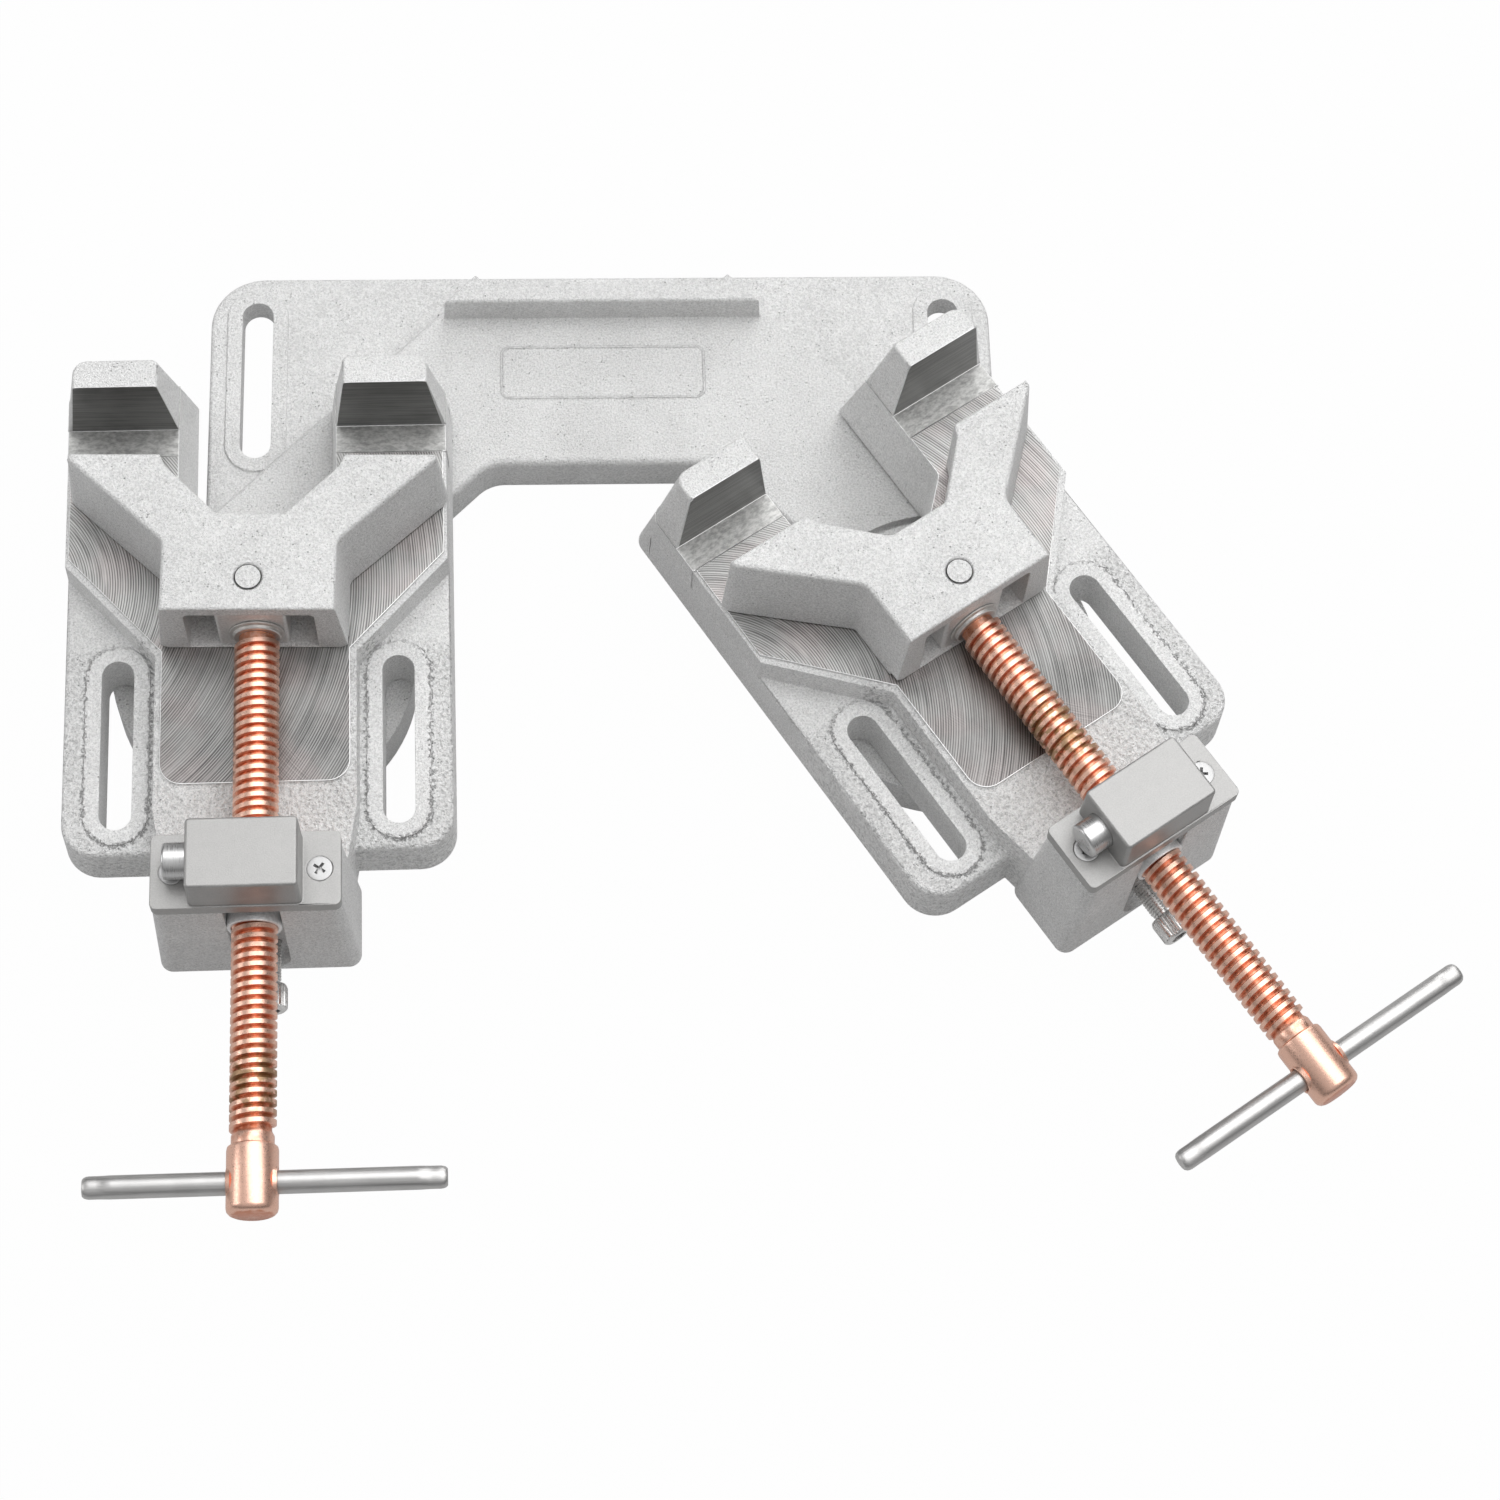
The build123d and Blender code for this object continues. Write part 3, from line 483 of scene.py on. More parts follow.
# %% Bevels
SQUARE_EDGE = 60.0
FLAT = 0.6
MERGE, WELD = 0.004, 0.01
STRAY = 0.6


def meets(line, degrees):
    """Whether an edge joins two faces that meet at more than this angle."""
    return len(line.link_faces) == 2 and line.calc_face_angle(0.0) > math.radians(degrees)


def bevel(bm, lines, width, material, segments=2, profile=0.6):
    bmesh.ops.bevel(
        bm, geom=lines, offset=width, segments=segments, profile=profile, affect="EDGES",
        clamp_overlap=False, material=material,
    )


def plain(centre, normal):
    return 0


def softened(
    name, node, side, body, finishes, region=plain, edge=0.35, border_width=0.0, border_finish=None, shape=None,
    wide=None, wide_edge=0.0,
):
    """A copy of a solid with bevelled edges. region(centre, normal) gives the finish of a face, shape
    works on the copy first, and wide(first, second) says which edges get the wide rounding."""
    bm = bmesh.new()
    bm.from_mesh(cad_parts[node].data)
    bmesh.ops.remove_doubles(bm, verts=bm.verts, dist=MERGE * MM)
    bmesh.ops.dissolve_limit(bm, angle_limit=math.radians(FLAT), verts=bm.verts, edges=bm.edges)
    place = place_of(side)
    bm.transform(place.inverted())
    if shape:
        shape(bm)
    bm.normal_update()
    skin = BVHTree.FromBMesh(bm)
    for face in bm.faces:
        face.material_index = region(face.calc_center_median(), face.normal)
    if wide:
        broad = [line for line in bm.edges if meets(line, SHARP) and wide(*(vert.co for vert in line.verts))]
        bevel(bm, broad, wide_edge, material=0, segments=4, profile=0.5)
        bm.normal_update()
    # Borders between two finishes take the burr metal on the castings; on the rivet pin they take black, a
    # seam of painted shade.
    borders, others = [], []
    for line in bm.edges:
        if meets(line, SHARP):
            first, second = (face.material_index for face in line.link_faces)
            bordered = first != second and border_finish is not None
            (borders if bordered else others).append(line)
    if borders:
        bevel(bm, borders, border_width, material=border_finish)
    if others:
        square = [line for line in bm.edges if meets(line, SQUARE_EDGE)]
        bevel(bm, square, edge, material=-1)
    # Where two edges meet at a very flat angle a bevel can shoot past its corner: such points go back.
    for vert in bm.verts:
        near, _, _, gap = skin.find_nearest(vert.co)
        if gap > STRAY:
            vert.co = near
    bmesh.ops.remove_doubles(bm, verts=bm.verts, dist=WELD)
    bmesh.ops.dissolve_degenerate(bm, dist=WELD, edges=bm.edges)
    print(name, "faces:", len(bm.faces), "burred edges:", len(borders), "soft edges:", len(others))
    bm.transform(place)
    settle(name, bm, finishes, body, node)


print("bevels ready")

# %% [markdown]
# ## The castings
# The bridge plate carries both pivots. Each clamp body has the milled bed, the two fixed fingers with their
# milled faces, and the housing for the nut. The forked jaw has a milled foot and two milled tips.

# %% Bridge plate
softened("bridge_plate", "base_plate", "plate", "base", [CAST["plate"]], edge=0.4)


# %% Clamp bodies
SKIN, SLIDE_CUT, FACE_CUT, BURRED, STRIP_CUT = range(5)
STRAIGHT = 0.95
BED_Z = (46.3, 47.3)
STRIP_FROM = 58.0
STRIP_WALL_Y = (55.0, 68.0)
FACE_Y = (69.0, 69.4)
FACE_FROM_Z = 46.0
FINGER_FOOT = {"z": 46.6, "inner": 25.0, "back": 84.4, "radius": 5.5, "corner": 0.4}
FINGER_TOP = {"z": 76.0, "inner": 28.9, "back": 78.8, "radius": 4.5, "corner": 2.1}
BELOW_FOOT = -0.002
CORNER_SLACK, CORNER_MIDDLE, CORNER_OUTSIDE = 0.02, 0.5, 0.2


def inside(value, span):
    return span[0] < value < span[1]


def body_region(centre, normal):
    if normal.z > STRAIGHT and inside(centre.z, BED_Z):
        return STRIP_CUT if centre.y > STRIP_FROM else SLIDE_CUT
    if abs(normal.y) > STRAIGHT and inside(centre.z, BED_Z) and inside(centre.y, STRIP_WALL_Y):
        return STRIP_CUT
    if normal.y < -STRAIGHT and inside(centre.y, FACE_Y) and centre.z > FACE_FROM_Z:
        return FACE_CUT
    return SKIN


def tighten_fingers(bm):
    """The inner back corner of each finger is rounded less than the outer one."""
    for vert in bm.verts:
        share = (vert.co.z - FINGER_FOOT["z"]) / (FINGER_TOP["z"] - FINGER_FOOT["z"])
        if share < BELOW_FOOT:
            continue
        here = {key: foot + share * (FINGER_TOP[key] - foot) for key, foot in FINGER_FOOT.items()}
        inner, back, radius, corner = (here[key] for key in ("inner", "back", "radius", "corner"))
        dx = inner + radius - abs(vert.co.x)
        dy = vert.co.y - back + radius
        reach = math.hypot(dx, dy)
        if min(dx, dy) < -CORNER_SLACK or not CORNER_MIDDLE <= reach <= radius + CORNER_OUTSIDE:
            continue
        inset = min(radius - reach, corner)
        vert.co.x = math.copysign(inner + corner - (corner - inset) * dx / reach, vert.co.x)
        vert.co.y = back - corner + (corner - inset) * dy / reach


for side in SIDES:
    softened(
        f"{side}_clamp_body", f"{side}_vise_body", side, f"{side}_vise",
        [CAST_BODY[side], BED[side], FACE[side], BURR, STRIP[side]],
        body_region, border_width=0.22, border_finish=BURRED, shape=tighten_fingers,
    )


# %% Forked jaws
JAW_FOOT_Z = 47.5
JAW_TIP_Y = 42.0
JAW_RIM_Z = 76.0


def jaw_region(centre, normal):
    if normal.z < -STRAIGHT and centre.z < JAW_FOOT_Z:
        return SLIDE_CUT
    if normal.y > STRAIGHT and centre.y > JAW_TIP_Y:
        return FACE_CUT
    return SKIN


def jaw_rim(first, second):
    return min(first.z, second.z) > JAW_RIM_Z


for side in SIDES:
    softened(
        f"{side}_forked_jaw", f"{side}_moving_jaw", side, f"{side}_jaw",
        [CAST[side], FOOT[side], FACE[side], BURR],
        jaw_region, border_width=0.45, border_finish=BURRED, wide=jaw_rim, wide_edge=0.9,
    )

# %% Covers
for side in SIDES:
    softened(f"{side}_screwed_cover", f"{side}_nut_cover", side, f"{side}_vise", [SATIN[side]], edge=0.45)

# %% [markdown]
# ## Turned pieces
# Most of the small pieces were made on a lathe, so they are made by spinning a profile round an axis. One
# helper spins a list of (position, radius) pairs round X, Y or Z. A ring's profile closes on itself, and a
# bar's profile ends on the axis.

# %% A lathe
ROUND = 40


def spin(bm, profile, axis, centre, segments, ring=False):
    """Spins (position along the axis, radius) pairs. centre holds the two other coordinates."""
    def point(along, radius, angle):
        u, v = radius * math.cos(angle), radius * math.sin(angle)
        if axis == "X":
            return (along, centre[0] + u, centre[1] + v)
        if axis == "Y":
            return (centre[0] + u, along, centre[1] + v)
        return (centre[0] + u, centre[1] + v, along)

    rings = []
    for along, radius in profile:
        count = segments if radius > 0.0 else 1
        rings.append([bm.verts.new(point(along, radius, 2 * math.pi * i / segments)) for i in range(count)])
    pairs = list(zip(rings, rings[1:]))
    if ring:
        pairs.append((rings[-1], rings[0]))
    for first, second in pairs:
        for i in range(segments):
            j = (i + 1) % segments
            if len(first) == 1:
                bm.faces.new((first[0], second[j], second[i]))
            elif len(second) == 1:
                bm.faces.new((first[i], first[j], second[0]))
            else:
                bm.faces.new((first[i], first[j], second[j], second[i]))


def carve(bm, cutter):
    """Takes one bmesh out of another."""
    objects = []
    for part in (bm, cutter):
        bmesh.ops.recalc_face_normals(part, faces=part.faces)
        mesh = bpy.data.meshes.new("carving")
        part.to_mesh(mesh)
        part.free()
        thing = bpy.data.objects.new("carving", mesh)
        bpy.context.scene.collection.objects.link(thing)
        objects.append(thing)
    cut = objects[0].modifiers.new("cut", "BOOLEAN")
    cut.object = objects[1]
    cut.solver = "EXACT"
    bpy.context.view_layer.update()
    ready = objects[0].evaluated_get(bpy.context.evaluated_depsgraph_get())
    result = bmesh.new()
    result.from_mesh(ready.to_mesh())
    ready.to_mesh_clear()
    for thing in objects:
        mesh = thing.data
        bpy.data.objects.remove(thing)
        bpy.data.meshes.remove(mesh)
    return result


def join(bm, other):
    """Adds one bmesh to another."""
    part = bpy.data.meshes.new("joined")
    other.to_mesh(part)
    other.free()
    bm.from_mesh(part)
    bpy.data.meshes.remove(part)


print("lathe ready")

# %% [markdown]
# ## The threads
# A trapezoidal thread, 14 mm across with a 3 mm pitch, drives each jaw. It is a helix, so no lathe profile
# gives it. For every step of the turn, one short profile is laid down: root, flank, crest, flank. The next
# turn begins where the last one ends, so neighbouring turns share their points. Near both ends the crest
# fades into the root, as it does where a thread cutter runs out.

# %% A thread cutter
THREAD_SHAPE = ((0.0, 0.0), (0.12, 0.0), (0.27, 1.0), (0.73, 1.0), (0.88, 0.0))


def thread(bm, centre, low, high, pitch, crest_r, root_r, steps, fade):
    """Helical thread round a Y axis, from low to high. fade is in turns. Gives the number of turns."""
    turns = (high - low) / pitch - 1.0
    count = int(turns * steps)
    rows = []
    for step in range(count + steps + 1):
        angle = 2 * math.pi * step / steps
        done = step / steps
        grow = max(0.0, min(1.0, done / fade, (turns - done) / fade))
        row = []
        for part, tall in THREAD_SHAPE if step <= count else THREAD_SHAPE[:1]:
            along = low + pitch * (done + part)
            radius = root_r + (crest_r - root_r) * tall * grow
            spot = (centre[0] + radius * math.cos(angle), along, centre[1] - radius * math.sin(angle))
            row.append(bm.verts.new(spot))
        rows.append(row)
    for step in range(count):
        here, there = rows[step], rows[step + 1]
        for i in range(len(THREAD_SHAPE) - 1):
            bm.faces.new((here[i], here[i + 1], there[i + 1], there[i]))
        bm.faces.new((here[-1], rows[step + steps][0], rows[step + steps + 1][0], there[-1]))
    return turns


# %% Spindles
THREAD_LOW, THREAD_HIGH = -169.2, -9.1
PITCH = 3.0
TURN_STEPS, FADE_TURNS = 36, 0.3
SPINDLE_ROUND = 56
ROOT_R, CREST_R = 5.6, 7.0
ROOT_DEPTH = 0.02
SPINDLE_PROFILE = (
    (-192.5, 0.0), (-192.5, 5.9), (-192.1, 6.8), (-191.3, 7.5), (-190.4, 7.7), (-173.2, 7.7),
    (-172.2, 7.5), (-171.8, 7.0), (-171.6, 6.4), (-168.8, 6.4), (-168.2, 6.1), (-167.4, ROOT_R),
    (-9.1, ROOT_R), (-9.0, 5.0), (10.6, 5.0), (11.2, 4.4), (11.2, 0.0),
)
HALF_HOLE = ((12.0, 0.0), (12.0, 4.8), (7.4, 4.2), (6.6, 3.75))
HOLE_LIP = ((6.2, 3.8), (7.2, 4.0), (7.55, 4.3), (7.4, 4.8), (6.2, 5.2))


def mirrored(half):
    """A profile from its left tip to its right tip, from the half that starts at a tip."""
    return [(-out, radius) for out, radius in half] + list(half[::-1])


def spindle(side):
    x = PLACES[side]["spindle_x"]
    head = bmesh.new()
    spin(head, SPINDLE_PROFILE, "Y", (x, SPINDLE_Z), SPINDLE_ROUND)
    hole = bmesh.new()
    profile = [(x + out, radius) for out, radius in mirrored(HALF_HOLE)]
    spin(hole, profile, "X", (BAR_Y, SPINDLE_Z), ROUND)
    head = carve(head, hole)
    for sign in (-1, 1):
        lip = [(x + sign * out, radius) for out, radius in HOLE_LIP]
        spin(head, lip, "X", (BAR_Y, SPINDLE_Z), ROUND, ring=True)
    turns = thread(
        head, (x, SPINDLE_Z), THREAD_LOW, THREAD_HIGH, PITCH, CREST_R, ROOT_R - ROOT_DEPTH,
        steps=TURN_STEPS, fade=FADE_TURNS,
    )
    head.transform(place_of(side))
    settle(
        f"{side}_copper_spindle", head, [COPPER[side]], f"{side}_screw", f"{side}_spindle", weighted=False,
    )
    print(side, "spindle turns:", round(turns, 1))


for side in SIDES:
    spindle(side)

# %% [markdown]
# ## The handle bars
# Each bar slides loose in the spindle's head. Its ends were pinched in a press after it was put in, so that
# it can't fall out: there the round bar is a little flat, with a bright bevel at the tip.

# %% Handle bars
BAR_HALF = 53.0
BAR_R = 3.5
PINCH_REACH, PINCH_RAMP = 8.0, 3.0
PINCH_FLAT, PINCH_NARROW = 0.16, 0.02


def handle_bar(side):
    middle = PLACES[side]["spindle_x"] + PLACES[side]["bar_shift"]
    tip = [(BAR_HALF, 0.0), (BAR_HALF, 2.6), (BAR_HALF - 0.5, 3.1), (BAR_HALF - 1.1, 3.35)]
    tip += [(BAR_HALF - 2.0 - i, BAR_R) for i in range(8)] + [(15.0, BAR_R)]
    bm = bmesh.new()
    spin(bm, [(middle + out, radius) for out, radius in mirrored(tip)], "X", (BAR_Y, SPINDLE_Z), ROUND)
    for vert in bm.verts:
        out = abs(vert.co.x - middle)
        pinch = max(0.0, min(1.0, (out - (BAR_HALF - PINCH_REACH)) / PINCH_RAMP))
        tall = vert.co.z - SPINDLE_Z
        deep = vert.co.y - BAR_Y
        vert.co.z = SPINDLE_Z + tall * (1.0 - PINCH_FLAT * pinch)
        vert.co.y = BAR_Y + deep * (1.0 - PINCH_NARROW * pinch)
    bm.transform(place_of(side))
    settle(f"{side}_handle_bar", bm, [ZINC_BAR[side]], f"{side}_bar", f"{side}_tommy_bar", weighted=False)


for side in SIDES:
    handle_bar(side)
print("handle bars:", 2 * BAR_HALF, "mm long,", 2 * BAR_R, "mm thick")

# %% [markdown]
# ## Cover screws
# Two small screws hold each cover. The head is a low cone let into the cover, with a cross for the driver.
# The cross is carved out with two tapered bars.

# %% Cover screws
FLANGE_TOP = 74.5
SCREW_X, SCREW_Y = 21.8, -92.0
SCREW_PROFILE = (
    (-0.05, 0.0), (-0.05, 3.3), (-0.2, 3.8), (-0.5, 3.9), (-0.8, 3.8), (-2.4, 2.1), (-3.0, 1.9),
    (-13.6, 1.9), (-14.0, 1.5), (-14.0, 0.0),
)
CROSS_LENGTH, CROSS_WIDTH = 4.6, 0.95
CROSS_ABOVE, CROSS_BELOW = 0.4, 1.7
CROSS_TURNS = ((-1, 0.35), (1, 0.95))
BOX_FACES = ((3, 2, 1, 0), (4, 5, 6, 7), (0, 1, 5, 4), (1, 2, 6, 5), (2, 3, 7, 6), (3, 0, 4, 7))


def tapered_bar(bm, centre, turn):
    """A bar that narrows downwards, for one arm of a cross."""
    corners = []
    for z, grow in ((FLANGE_TOP - CROSS_BELOW, 0.45), (FLANGE_TOP + CROSS_ABOVE, 1.0)):
        for sx, sy in ((-1, -1), (1, -1), (1, 1), (-1, 1)):
            half_width = sy * CROSS_WIDTH / 2 * (0.6 + 0.4 * grow)
            local = Vector((sx * CROSS_LENGTH / 2 * grow, half_width, 0.0))
            local.rotate(Matrix.Rotation(turn, 3, "Z"))
            corners.append(bm.verts.new((centre[0] + local.x, centre[1] + local.y, z)))
    for quad in BOX_FACES:
        bm.faces.new([corners[i] for i in quad])


def cover_screws(side):
    both = bmesh.new()
    for sign, start in CROSS_TURNS:
        centre = (sign * SCREW_X, SCREW_Y)
        head = bmesh.new()
        spin(head, [(FLANGE_TOP + up, radius) for up, radius in SCREW_PROFILE], "Z", centre, ROUND)
        for quarter in range(2):
            arm = bmesh.new()
            tapered_bar(arm, centre, start + quarter * math.pi / 2)
            head = carve(head, arm)
        join(both, head)
    both.transform(place_of(side))
    settle(f"{side}_cross_screws", both, [SCREW_ZINC[side]], f"{side}_vise", f"{side}_cover_screws")


for side in SIDES:
    cover_screws(side)
print("cover screws: 2 for each of", len(SIDES), "clamps")

# %% [markdown]
# ## Rings, clip and block
# The spindle pushes the jaw through a zinc-plated block. A ring in front of the block and a clip behind it
# hold the spindle in place. The ring stands 0.2 mm clear, and its edges are broken with a small chamfer.

# %% Ring, clip and block
RING_PROFILE = (
    (-9.0, 5.05), (-9.0, 7.1), (-8.7, 7.4), (-8.0, 7.5), (-7.9, 8.3), (-7.7, 8.6), (-7.3, 8.6),
    (-7.2, 8.4), (-7.2, 5.05),
)
RING_ROUND = 48
CLIP_Y = (9.55, 10.45)
CLIP_INNER, CLIP_OUTER, CLIP_EYE = 5.03, 6.5, 0.65
CLIP_GAP = math.radians(24.0)
CLIP_STEPS = 40
CLIP_EYE_STEP = 18.4


def thrust_ring(side):
    bm = bmesh.new()
    spin(bm, RING_PROFILE, "Y", (PLACES[side]["spindle_x"], SPINDLE_Z), RING_ROUND, ring=True)
    bm.transform(place_of(side))
    settle(f"{side}_thrust_ring", bm, [GOLDEN_ZINC[side]], f"{side}_screw", f"{side}_thrust_collar")


def spring_clip(side):
    """A snap ring: open at the bottom, with two small eyes."""
    x = PLACES[side]["spindle_x"]
    front, back = CLIP_Y
    bm = bmesh.new()
    rows = []
    for i in range(CLIP_STEPS + 1):
        angle = -math.pi / 2 + CLIP_GAP + (2 * math.pi - 2 * CLIP_GAP) * i / CLIP_STEPS
        eye = max(0.0, 1.0 - abs(abs(i - CLIP_STEPS / 2) - CLIP_EYE_STEP) / 2.0)
        outer = CLIP_OUTER + CLIP_EYE * eye
        row = []
        for radius, along in ((CLIP_INNER, front), (outer, front), (outer, back), (CLIP_INNER, back)):
            spot = (x + radius * math.cos(angle), along, SPINDLE_Z + radius * math.sin(angle))
            row.append(bm.verts.new(spot))
        rows.append(row)
    for first, second in zip(rows, rows[1:]):
        for i in range(4):
            j = (i + 1) % 4
            bm.faces.new((first[i], first[j], second[j], second[i]))
    bm.faces.new(rows[0][::-1])
    bm.faces.new(rows[-1])
    bm.transform(place_of(side))
    settle(f"{side}_snap_ring", bm, [SPRING], f"{side}_screw", f"{side}_retaining_clip")


def pin_region(centre, normal):
    """The pin's top is its own region, so that a dark seam of painted shade forms round it."""
    return 0 if normal.z > 0.9 else 1


for side in SIDES:
    thrust_ring(side)
    spring_clip(side)
    carriage = f"{side}_carriage"
    softened(f"{side}_carrier_block", f"{side}_spindle_block", side, carriage, [DULL_ZINC[side]], edge=0.3)
    # The pin's top border is bevelled in black: a ring of painted shade where the pin meets its hole.
    softened(
        f"{side}_rivet_pin", f"{side}_jaw_pin", side, carriage, [CAST[side], CAST[side], BLACK],
        pin_region, edge=0.2, border_width=0.34, border_finish=2,
    )
print("rings and clips in place")

# %% [markdown]
# ## The quick release
# Pressing the button lifts a half nut off the spindle, and the jaw slides free. A coil spring pushes the
# button back. The spring is a real helix of wire, made as a curve with a round bevel. It is drawn a little
# shorter than its seat, because it can't shorten when the button comes in.

# %% Button, half nut, bush and spring
BUTTON_Y, BUTTON_Z = -91.0, 81.0
COIL_SHARE = 0.93
COIL_R, WIRE_R = 1.8, 0.24
COILS, COIL_STEPS = 5, 14


def coil_spring(side):
    place = place_of(side)
    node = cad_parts[f"{side}_button_spring"]
    reach = [(place.inverted() @ vert.co).x for vert in node.data.vertices]
    length_mm = COIL_SHARE * (max(reach) - min(reach))
    middle = (max(reach) + min(reach)) / 2
    curve = bpy.data.curves.new(f"{side}_coil_spring", "CURVE")
    curve.dimensions = "3D"
    curve.bevel_depth = WIRE_R * MM
    curve.bevel_resolution = 3
    line = curve.splines.new("POLY")
    last = COILS * COIL_STEPS
    line.points.add(last)
    for i in range(last + 1):
        angle = 2 * math.pi * i / COIL_STEPS
        along = middle + (length_mm / 2 - WIRE_R) * (2.0 * i / last - 1.0)
        spot = Vector((along, BUTTON_Y + COIL_R * math.cos(angle), BUTTON_Z + COIL_R * math.sin(angle)))
        line.points[i].co = (*(place @ spot), 1.0)
    curve.materials.append(SPRING)
    piece = bpy.data.objects.new(f"{side}_coil_spring", curve)
    bpy.context.scene.collection.objects.link(piece)
    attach(piece, f"{side}_vise")
    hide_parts(f"{side}_button_spring")
    print(side, "spring length:", round(length_mm, 2), "mm")


for side in SIDES:
    button, nut, vise = f"{side}_button", f"{side}_nut", f"{side}_vise"
    softened(f"{side}_push_button", f"{side}_release_button", side, button, [TURNED[side]], edge=0.3)
    softened(f"{side}_lifting_nut", f"{side}_half_nut", side, nut, [BRONZE], edge=0.3)
    softened(f"{side}_guide_bush", f"{side}_nut_bush", side, vise, [WHITE_ZINC[side]], edge=0.35)
    coil_spring(side)

# %% [markdown]
# ## The lock screw
# A socket-head screw under the spindle presses a soft pad on the pivot's hub and so locks the swivel. Its
# head is knurled for the fingers: the knurl is a cylinder whose radius goes up and down round the rim.

# %% Lock screws
LOCK_TIP_Y, LOCK_HEAD_Y, LOCK_END_Y = -30.4, -112.6, -120.8
LOCK_PITCH, LOCK_CREST_R, LOCK_ROOT_R = 1.0, 3.0, 2.42
LOCK_TURN_STEPS, LOCK_FADE_TURNS = 20, 0.8
SHANK_ROUND = 32
SHANK_PROFILE = (
    (LOCK_HEAD_Y, 0.0), (LOCK_HEAD_Y, 2.4), (LOCK_TIP_Y - 1.0, 2.4), (LOCK_TIP_Y - 0.4, 2.0),
    (LOCK_TIP_Y, 1.6), (LOCK_TIP_Y, 0.0),
)
HEAD_PROFILE = (
    (LOCK_END_Y, 0.0), (LOCK_END_Y, 4.1), (LOCK_END_Y + 0.5, 4.7), (LOCK_END_Y + 0.9, 5.0),
    (LOCK_HEAD_Y - 1.2, 5.0), (LOCK_HEAD_Y - 0.4, 4.7), (LOCK_HEAD_Y, 4.4), (LOCK_HEAD_Y, 0.0),
)
RIM_STEPS, KNURL_EVERY, KNURL_DEPTH = 96, 3, 0.28
KNURLED_FROM_R = 4.95
SOCKET_HALF, SOCKET_DEPTH = 2.5, 3.0


def hexagon_cutter(x):
    """A six-sided bar that stands a little out of the screw's end."""
    socket = bmesh.new()
    corner_r = SOCKET_HALF / math.cos(math.pi / 6)
    ends = []
    for y in (LOCK_END_Y - 1.0, LOCK_END_Y + SOCKET_DEPTH):
        turns = [math.pi / 3 * i for i in range(6)]
        spots = [(x + corner_r * math.cos(turn), y, LOCK_Z + corner_r * math.sin(turn)) for turn in turns]
        ends.append([socket.verts.new(spot) for spot in spots])
    first, second = ends
    socket.faces.new(first)
    socket.faces.new(second[::-1])
    for i in range(6):
        j = (i + 1) % 6
        socket.faces.new((first[i], second[i], second[j], first[j]))
    return socket


def lock_screw(side):
    x = PLACES[side]["lock_x"]
    centre = (x, LOCK_Z)
    bm = bmesh.new()
    spin(bm, SHANK_PROFILE, "Y", centre, SHANK_ROUND)
    thread(
        bm, centre, LOCK_HEAD_Y + 0.4, LOCK_TIP_Y - 0.6, LOCK_PITCH, LOCK_CREST_R, LOCK_ROOT_R,
        steps=LOCK_TURN_STEPS, fade=LOCK_FADE_TURNS,
    )
    head = bmesh.new()
    spin(head, HEAD_PROFILE, "Y", centre, RIM_STEPS)
    for vert in head.verts:
        off = Vector((vert.co.x - x, 0.0, vert.co.z - LOCK_Z))
        step = round(math.atan2(off.z, off.x) / (2 * math.pi) * RIM_STEPS)
        if off.length > KNURLED_FROM_R and step % KNURL_EVERY == 0:
            vert.co -= off.normalized() * KNURL_DEPTH
    join(bm, carve(head, hexagon_cutter(x)))
    bm.transform(place_of(side))
    settle(
        f"{side}_socket_screw", bm, [ZINC[side]], f"{side}_lock", f"{side}_lock_screw",
        smooth=25.0, weighted=False,
    )


for side in SIDES:
    lock_screw(side)
print("lock screws:", 2 * LOCK_CREST_R, "mm thick, with knurled heads")

# %% [markdown]
# ## Pieces kept from the frame
# The pivot bolts, their washers and the lock pads are simple turned parts that sit deep inside. Their
# shapes are right as they come, so they only take a finish.

# %% Finishes for the kept pieces
def refinish(node, made):
    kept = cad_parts[node]
    if not kept.material_slots:
        kept.data.materials.append(made)
    for slot in kept.material_slots:
        slot.material = made


for side in SIDES:
    refinish(f"{side}_pivot_bolt", BLACK)
    refinish(f"{side}_pivot_washer", ZINC[side])
    refinish(f"{side}_lock_pad", BRONZE)
print("kept pieces: 3 for each of", len(SIDES), "clamps")

# %% [markdown]
# ## Floor, light and camera
# The photograph was taken from above the handles with a long lens, in soft light from all round that is
# strongest overhead, on pure white. The floor is a shade of grey that keeps a faint shadow. To the camera
# it is mostly plain white, so the object alone carries the tones.

# %% Floor
WHITE = (1.0, 1.0, 1.0, 1.0)
FLOOR_TONE = 0.34
FLOOR_HALF = 4.0
WHITE_TO_CAMERA = 0.985
WHITE_TO_MIRRORS = 0.35


def white_floor():
    made, tree, shader = finish_base("studio_floor")
    fine = noise(tree, add(tree, "ShaderNodeTexCoord").outputs["Object"], 40.0, 2.0)
    tree.links.new(vary(tree, fine, 0.85, 0.92), shader.inputs["Roughness"])
    shader.inputs["Base Color"].default_value = grey(FLOOR_TONE)
    shader.inputs["Specular IOR Level"].default_value = 0.1
    glow = add(tree, "ShaderNodeEmission", {"Color": WHITE, "Strength": 1.0})
    rays = add(tree, "ShaderNodeLightPath").outputs
    seen = times(tree, rays["Is Camera Ray"], WHITE_TO_CAMERA)
    mirror = times(tree, plus(tree, rays["Is Glossy Ray"], rays["Is Transmission Ray"]), WHITE_TO_MIRRORS)
    share = calc(tree, "ADD", seen, mirror, clamp=True)
    mixed = add(tree, "ShaderNodeMixShader", {0: share, 1: shader.outputs[0], 2: glow.outputs[0]})
    tree.links.new(mixed.outputs[0], tree.nodes["Material Output"].inputs[0])
    return made


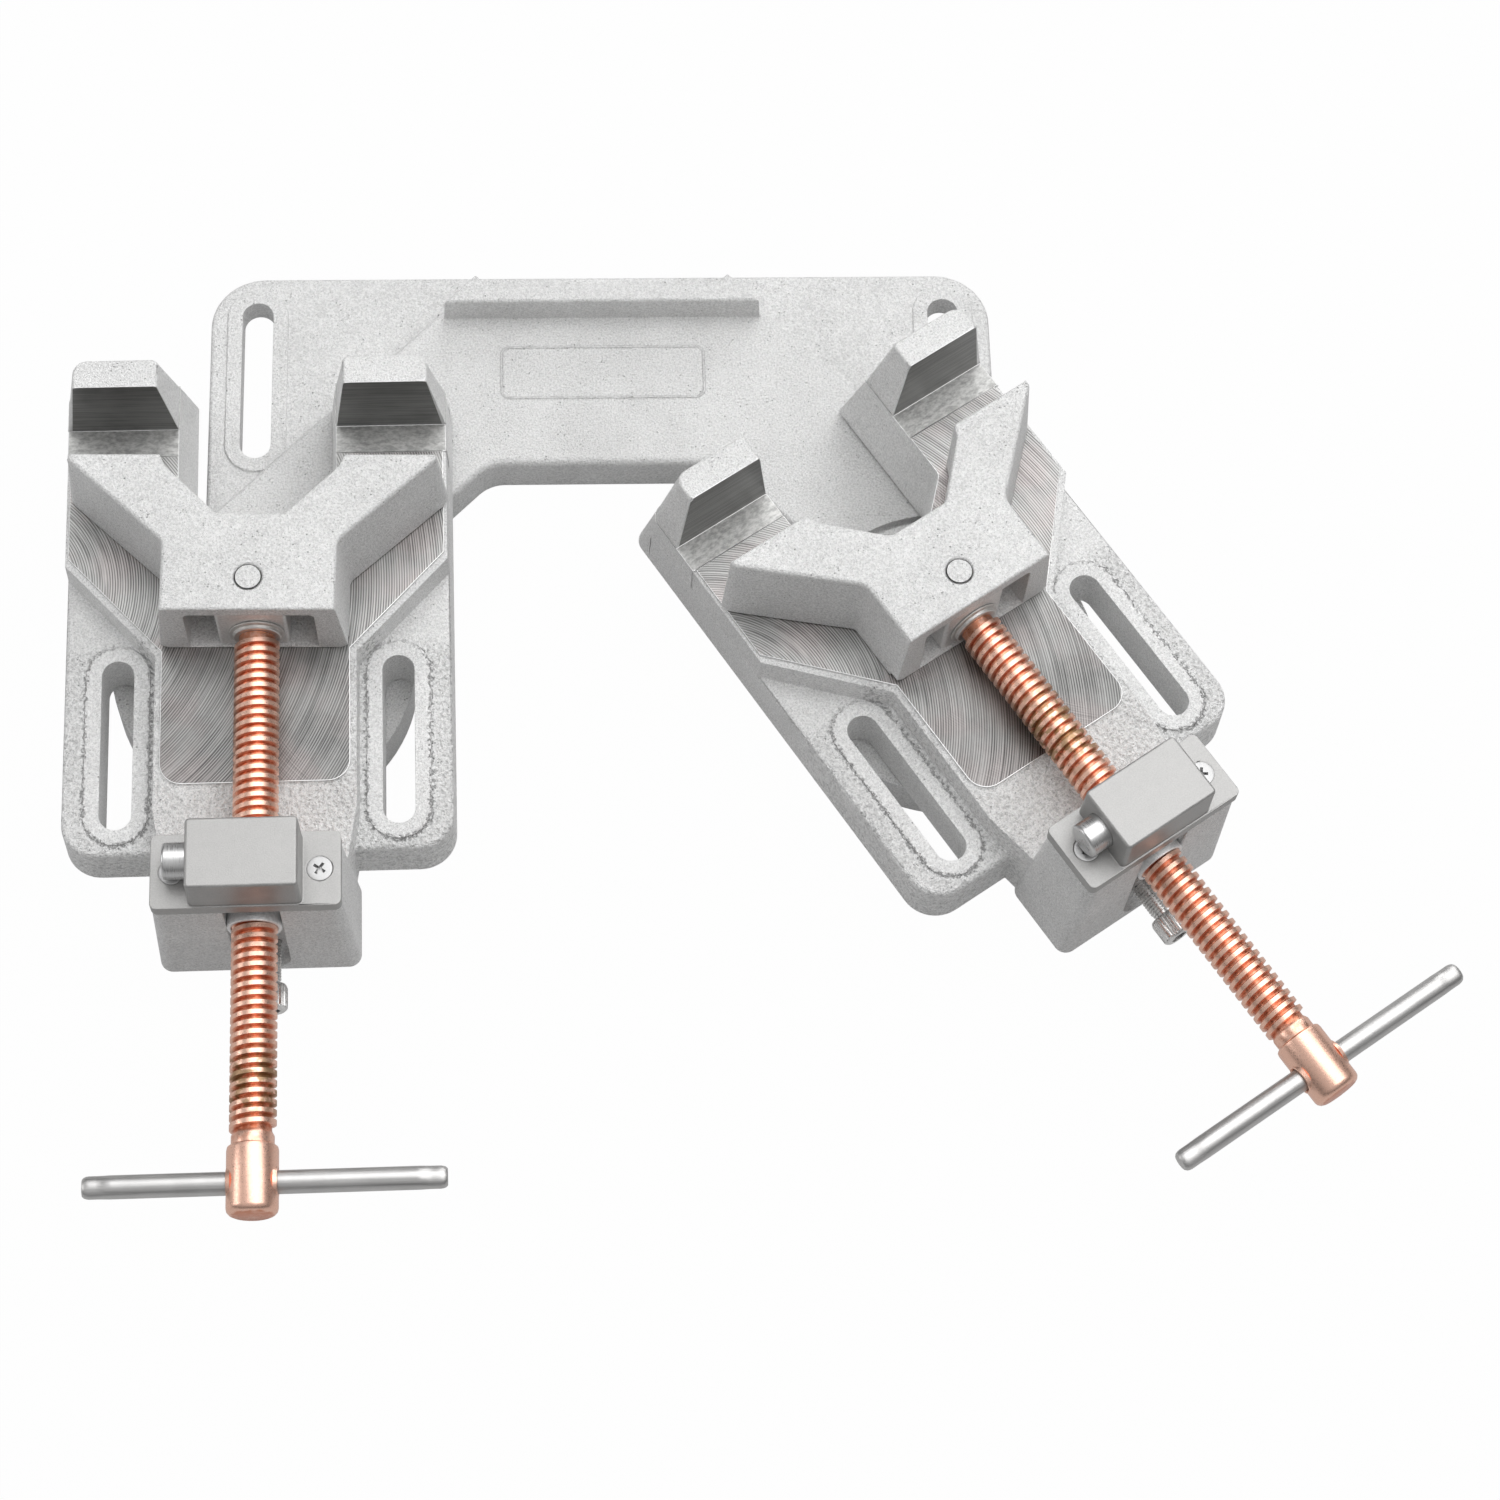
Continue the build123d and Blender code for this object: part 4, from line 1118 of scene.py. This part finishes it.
floor_mesh = bpy.data.meshes.new("floor")
sheet = bmesh.new()
bmesh.ops.create_grid(sheet, x_segments=4, y_segments=4, size=FLOOR_HALF)
sheet.to_mesh(floor_mesh)
sheet.free()
floor_mesh.materials.append(white_floor())
floor = bpy.data.objects.new("floor", floor_mesh)
bpy.context.scene.collection.objects.link(floor)
print("floor laid at height", floor.location.z)

# %% World and lamps
SKY_LOW, SKY_HIGH = 0.12, 0.56

world = bpy.data.worlds.new("studio")
bpy.context.scene.world = world
world.use_nodes = True
sky = world.node_tree
sky.nodes.clear()
upward = apart(sky, add(sky, "ShaderNodeTexCoord").outputs["Generated"])["Z"]
lift = ease(sky, upward, 0.0, 0.9, SKY_LOW, SKY_HIGH)
soft = add(sky, "ShaderNodeBackground", {"Color": WHITE, "Strength": lift}).outputs[0]
plain_white = add(sky, "ShaderNodeBackground", {"Color": WHITE, "Strength": 1.0}).outputs[0]
to_camera = add(sky, "ShaderNodeLightPath").outputs["Is Camera Ray"]
either = add(sky, "ShaderNodeMixShader", {0: to_camera, 1: soft, 2: plain_white}).outputs[0]
add(sky, "ShaderNodeOutputWorld", {0: either})


def softbox(name, place, aim, width, depth, power):
    light = bpy.data.lights.new(name, "AREA")
    light.shape = "RECTANGLE"
    light.size = width
    light.size_y = depth
    light.energy = power
    lamp = bpy.data.objects.new(name, light)
    lamp.location = place
    lamp.rotation_euler = (Vector(aim) - Vector(place)).to_track_quat("-Z", "Y").to_euler()
    bpy.context.scene.collection.objects.link(lamp)


softbox("overhead", (0.4, 0.3, 1.6), (0.05, 0.0, 0.0), 2.2, 1.7, 22.5)
softbox("back_light", (0.6, 1.5, 0.7), (0.0, 0.0, 0.05), 1.2, 0.8, 7.0)
softbox("left_fill", (-1.4, -0.1, 0.6), (0.0, 0.0, 0.05), 0.8, 0.6, 3.0)

# %% Camera
CAMERA_MM = Vector((-10.04, -572.5, 1083.58))
CAMERA_TURNS = ((-7.22, "Z"), (22.31, "X"), (5.98, "Z"))
SENSOR_MM, FOCAL_MM = 36.0, 86.69

heading, tilt, roll = (Matrix.Rotation(math.radians(angle), 3, axis) for angle, axis in CAMERA_TURNS)
lens = bpy.data.cameras.new("photo_camera")
lens.sensor_width = SENSOR_MM
lens.sensor_fit = "HORIZONTAL"
lens.lens = FOCAL_MM
lens.clip_start = 0.05
lens.clip_end = 20.0
camera = bpy.data.objects.new("photo_camera", lens)
camera.matrix_world = Matrix.Translation(CAMERA_MM * MM) @ (heading @ tilt @ roll).to_4x4()
bpy.context.scene.collection.objects.link(camera)
bpy.context.scene.camera = camera
bpy.context.scene.view_settings.view_transform = "Standard"
print("camera at", tuple(round(value, 3) for value in camera.location))
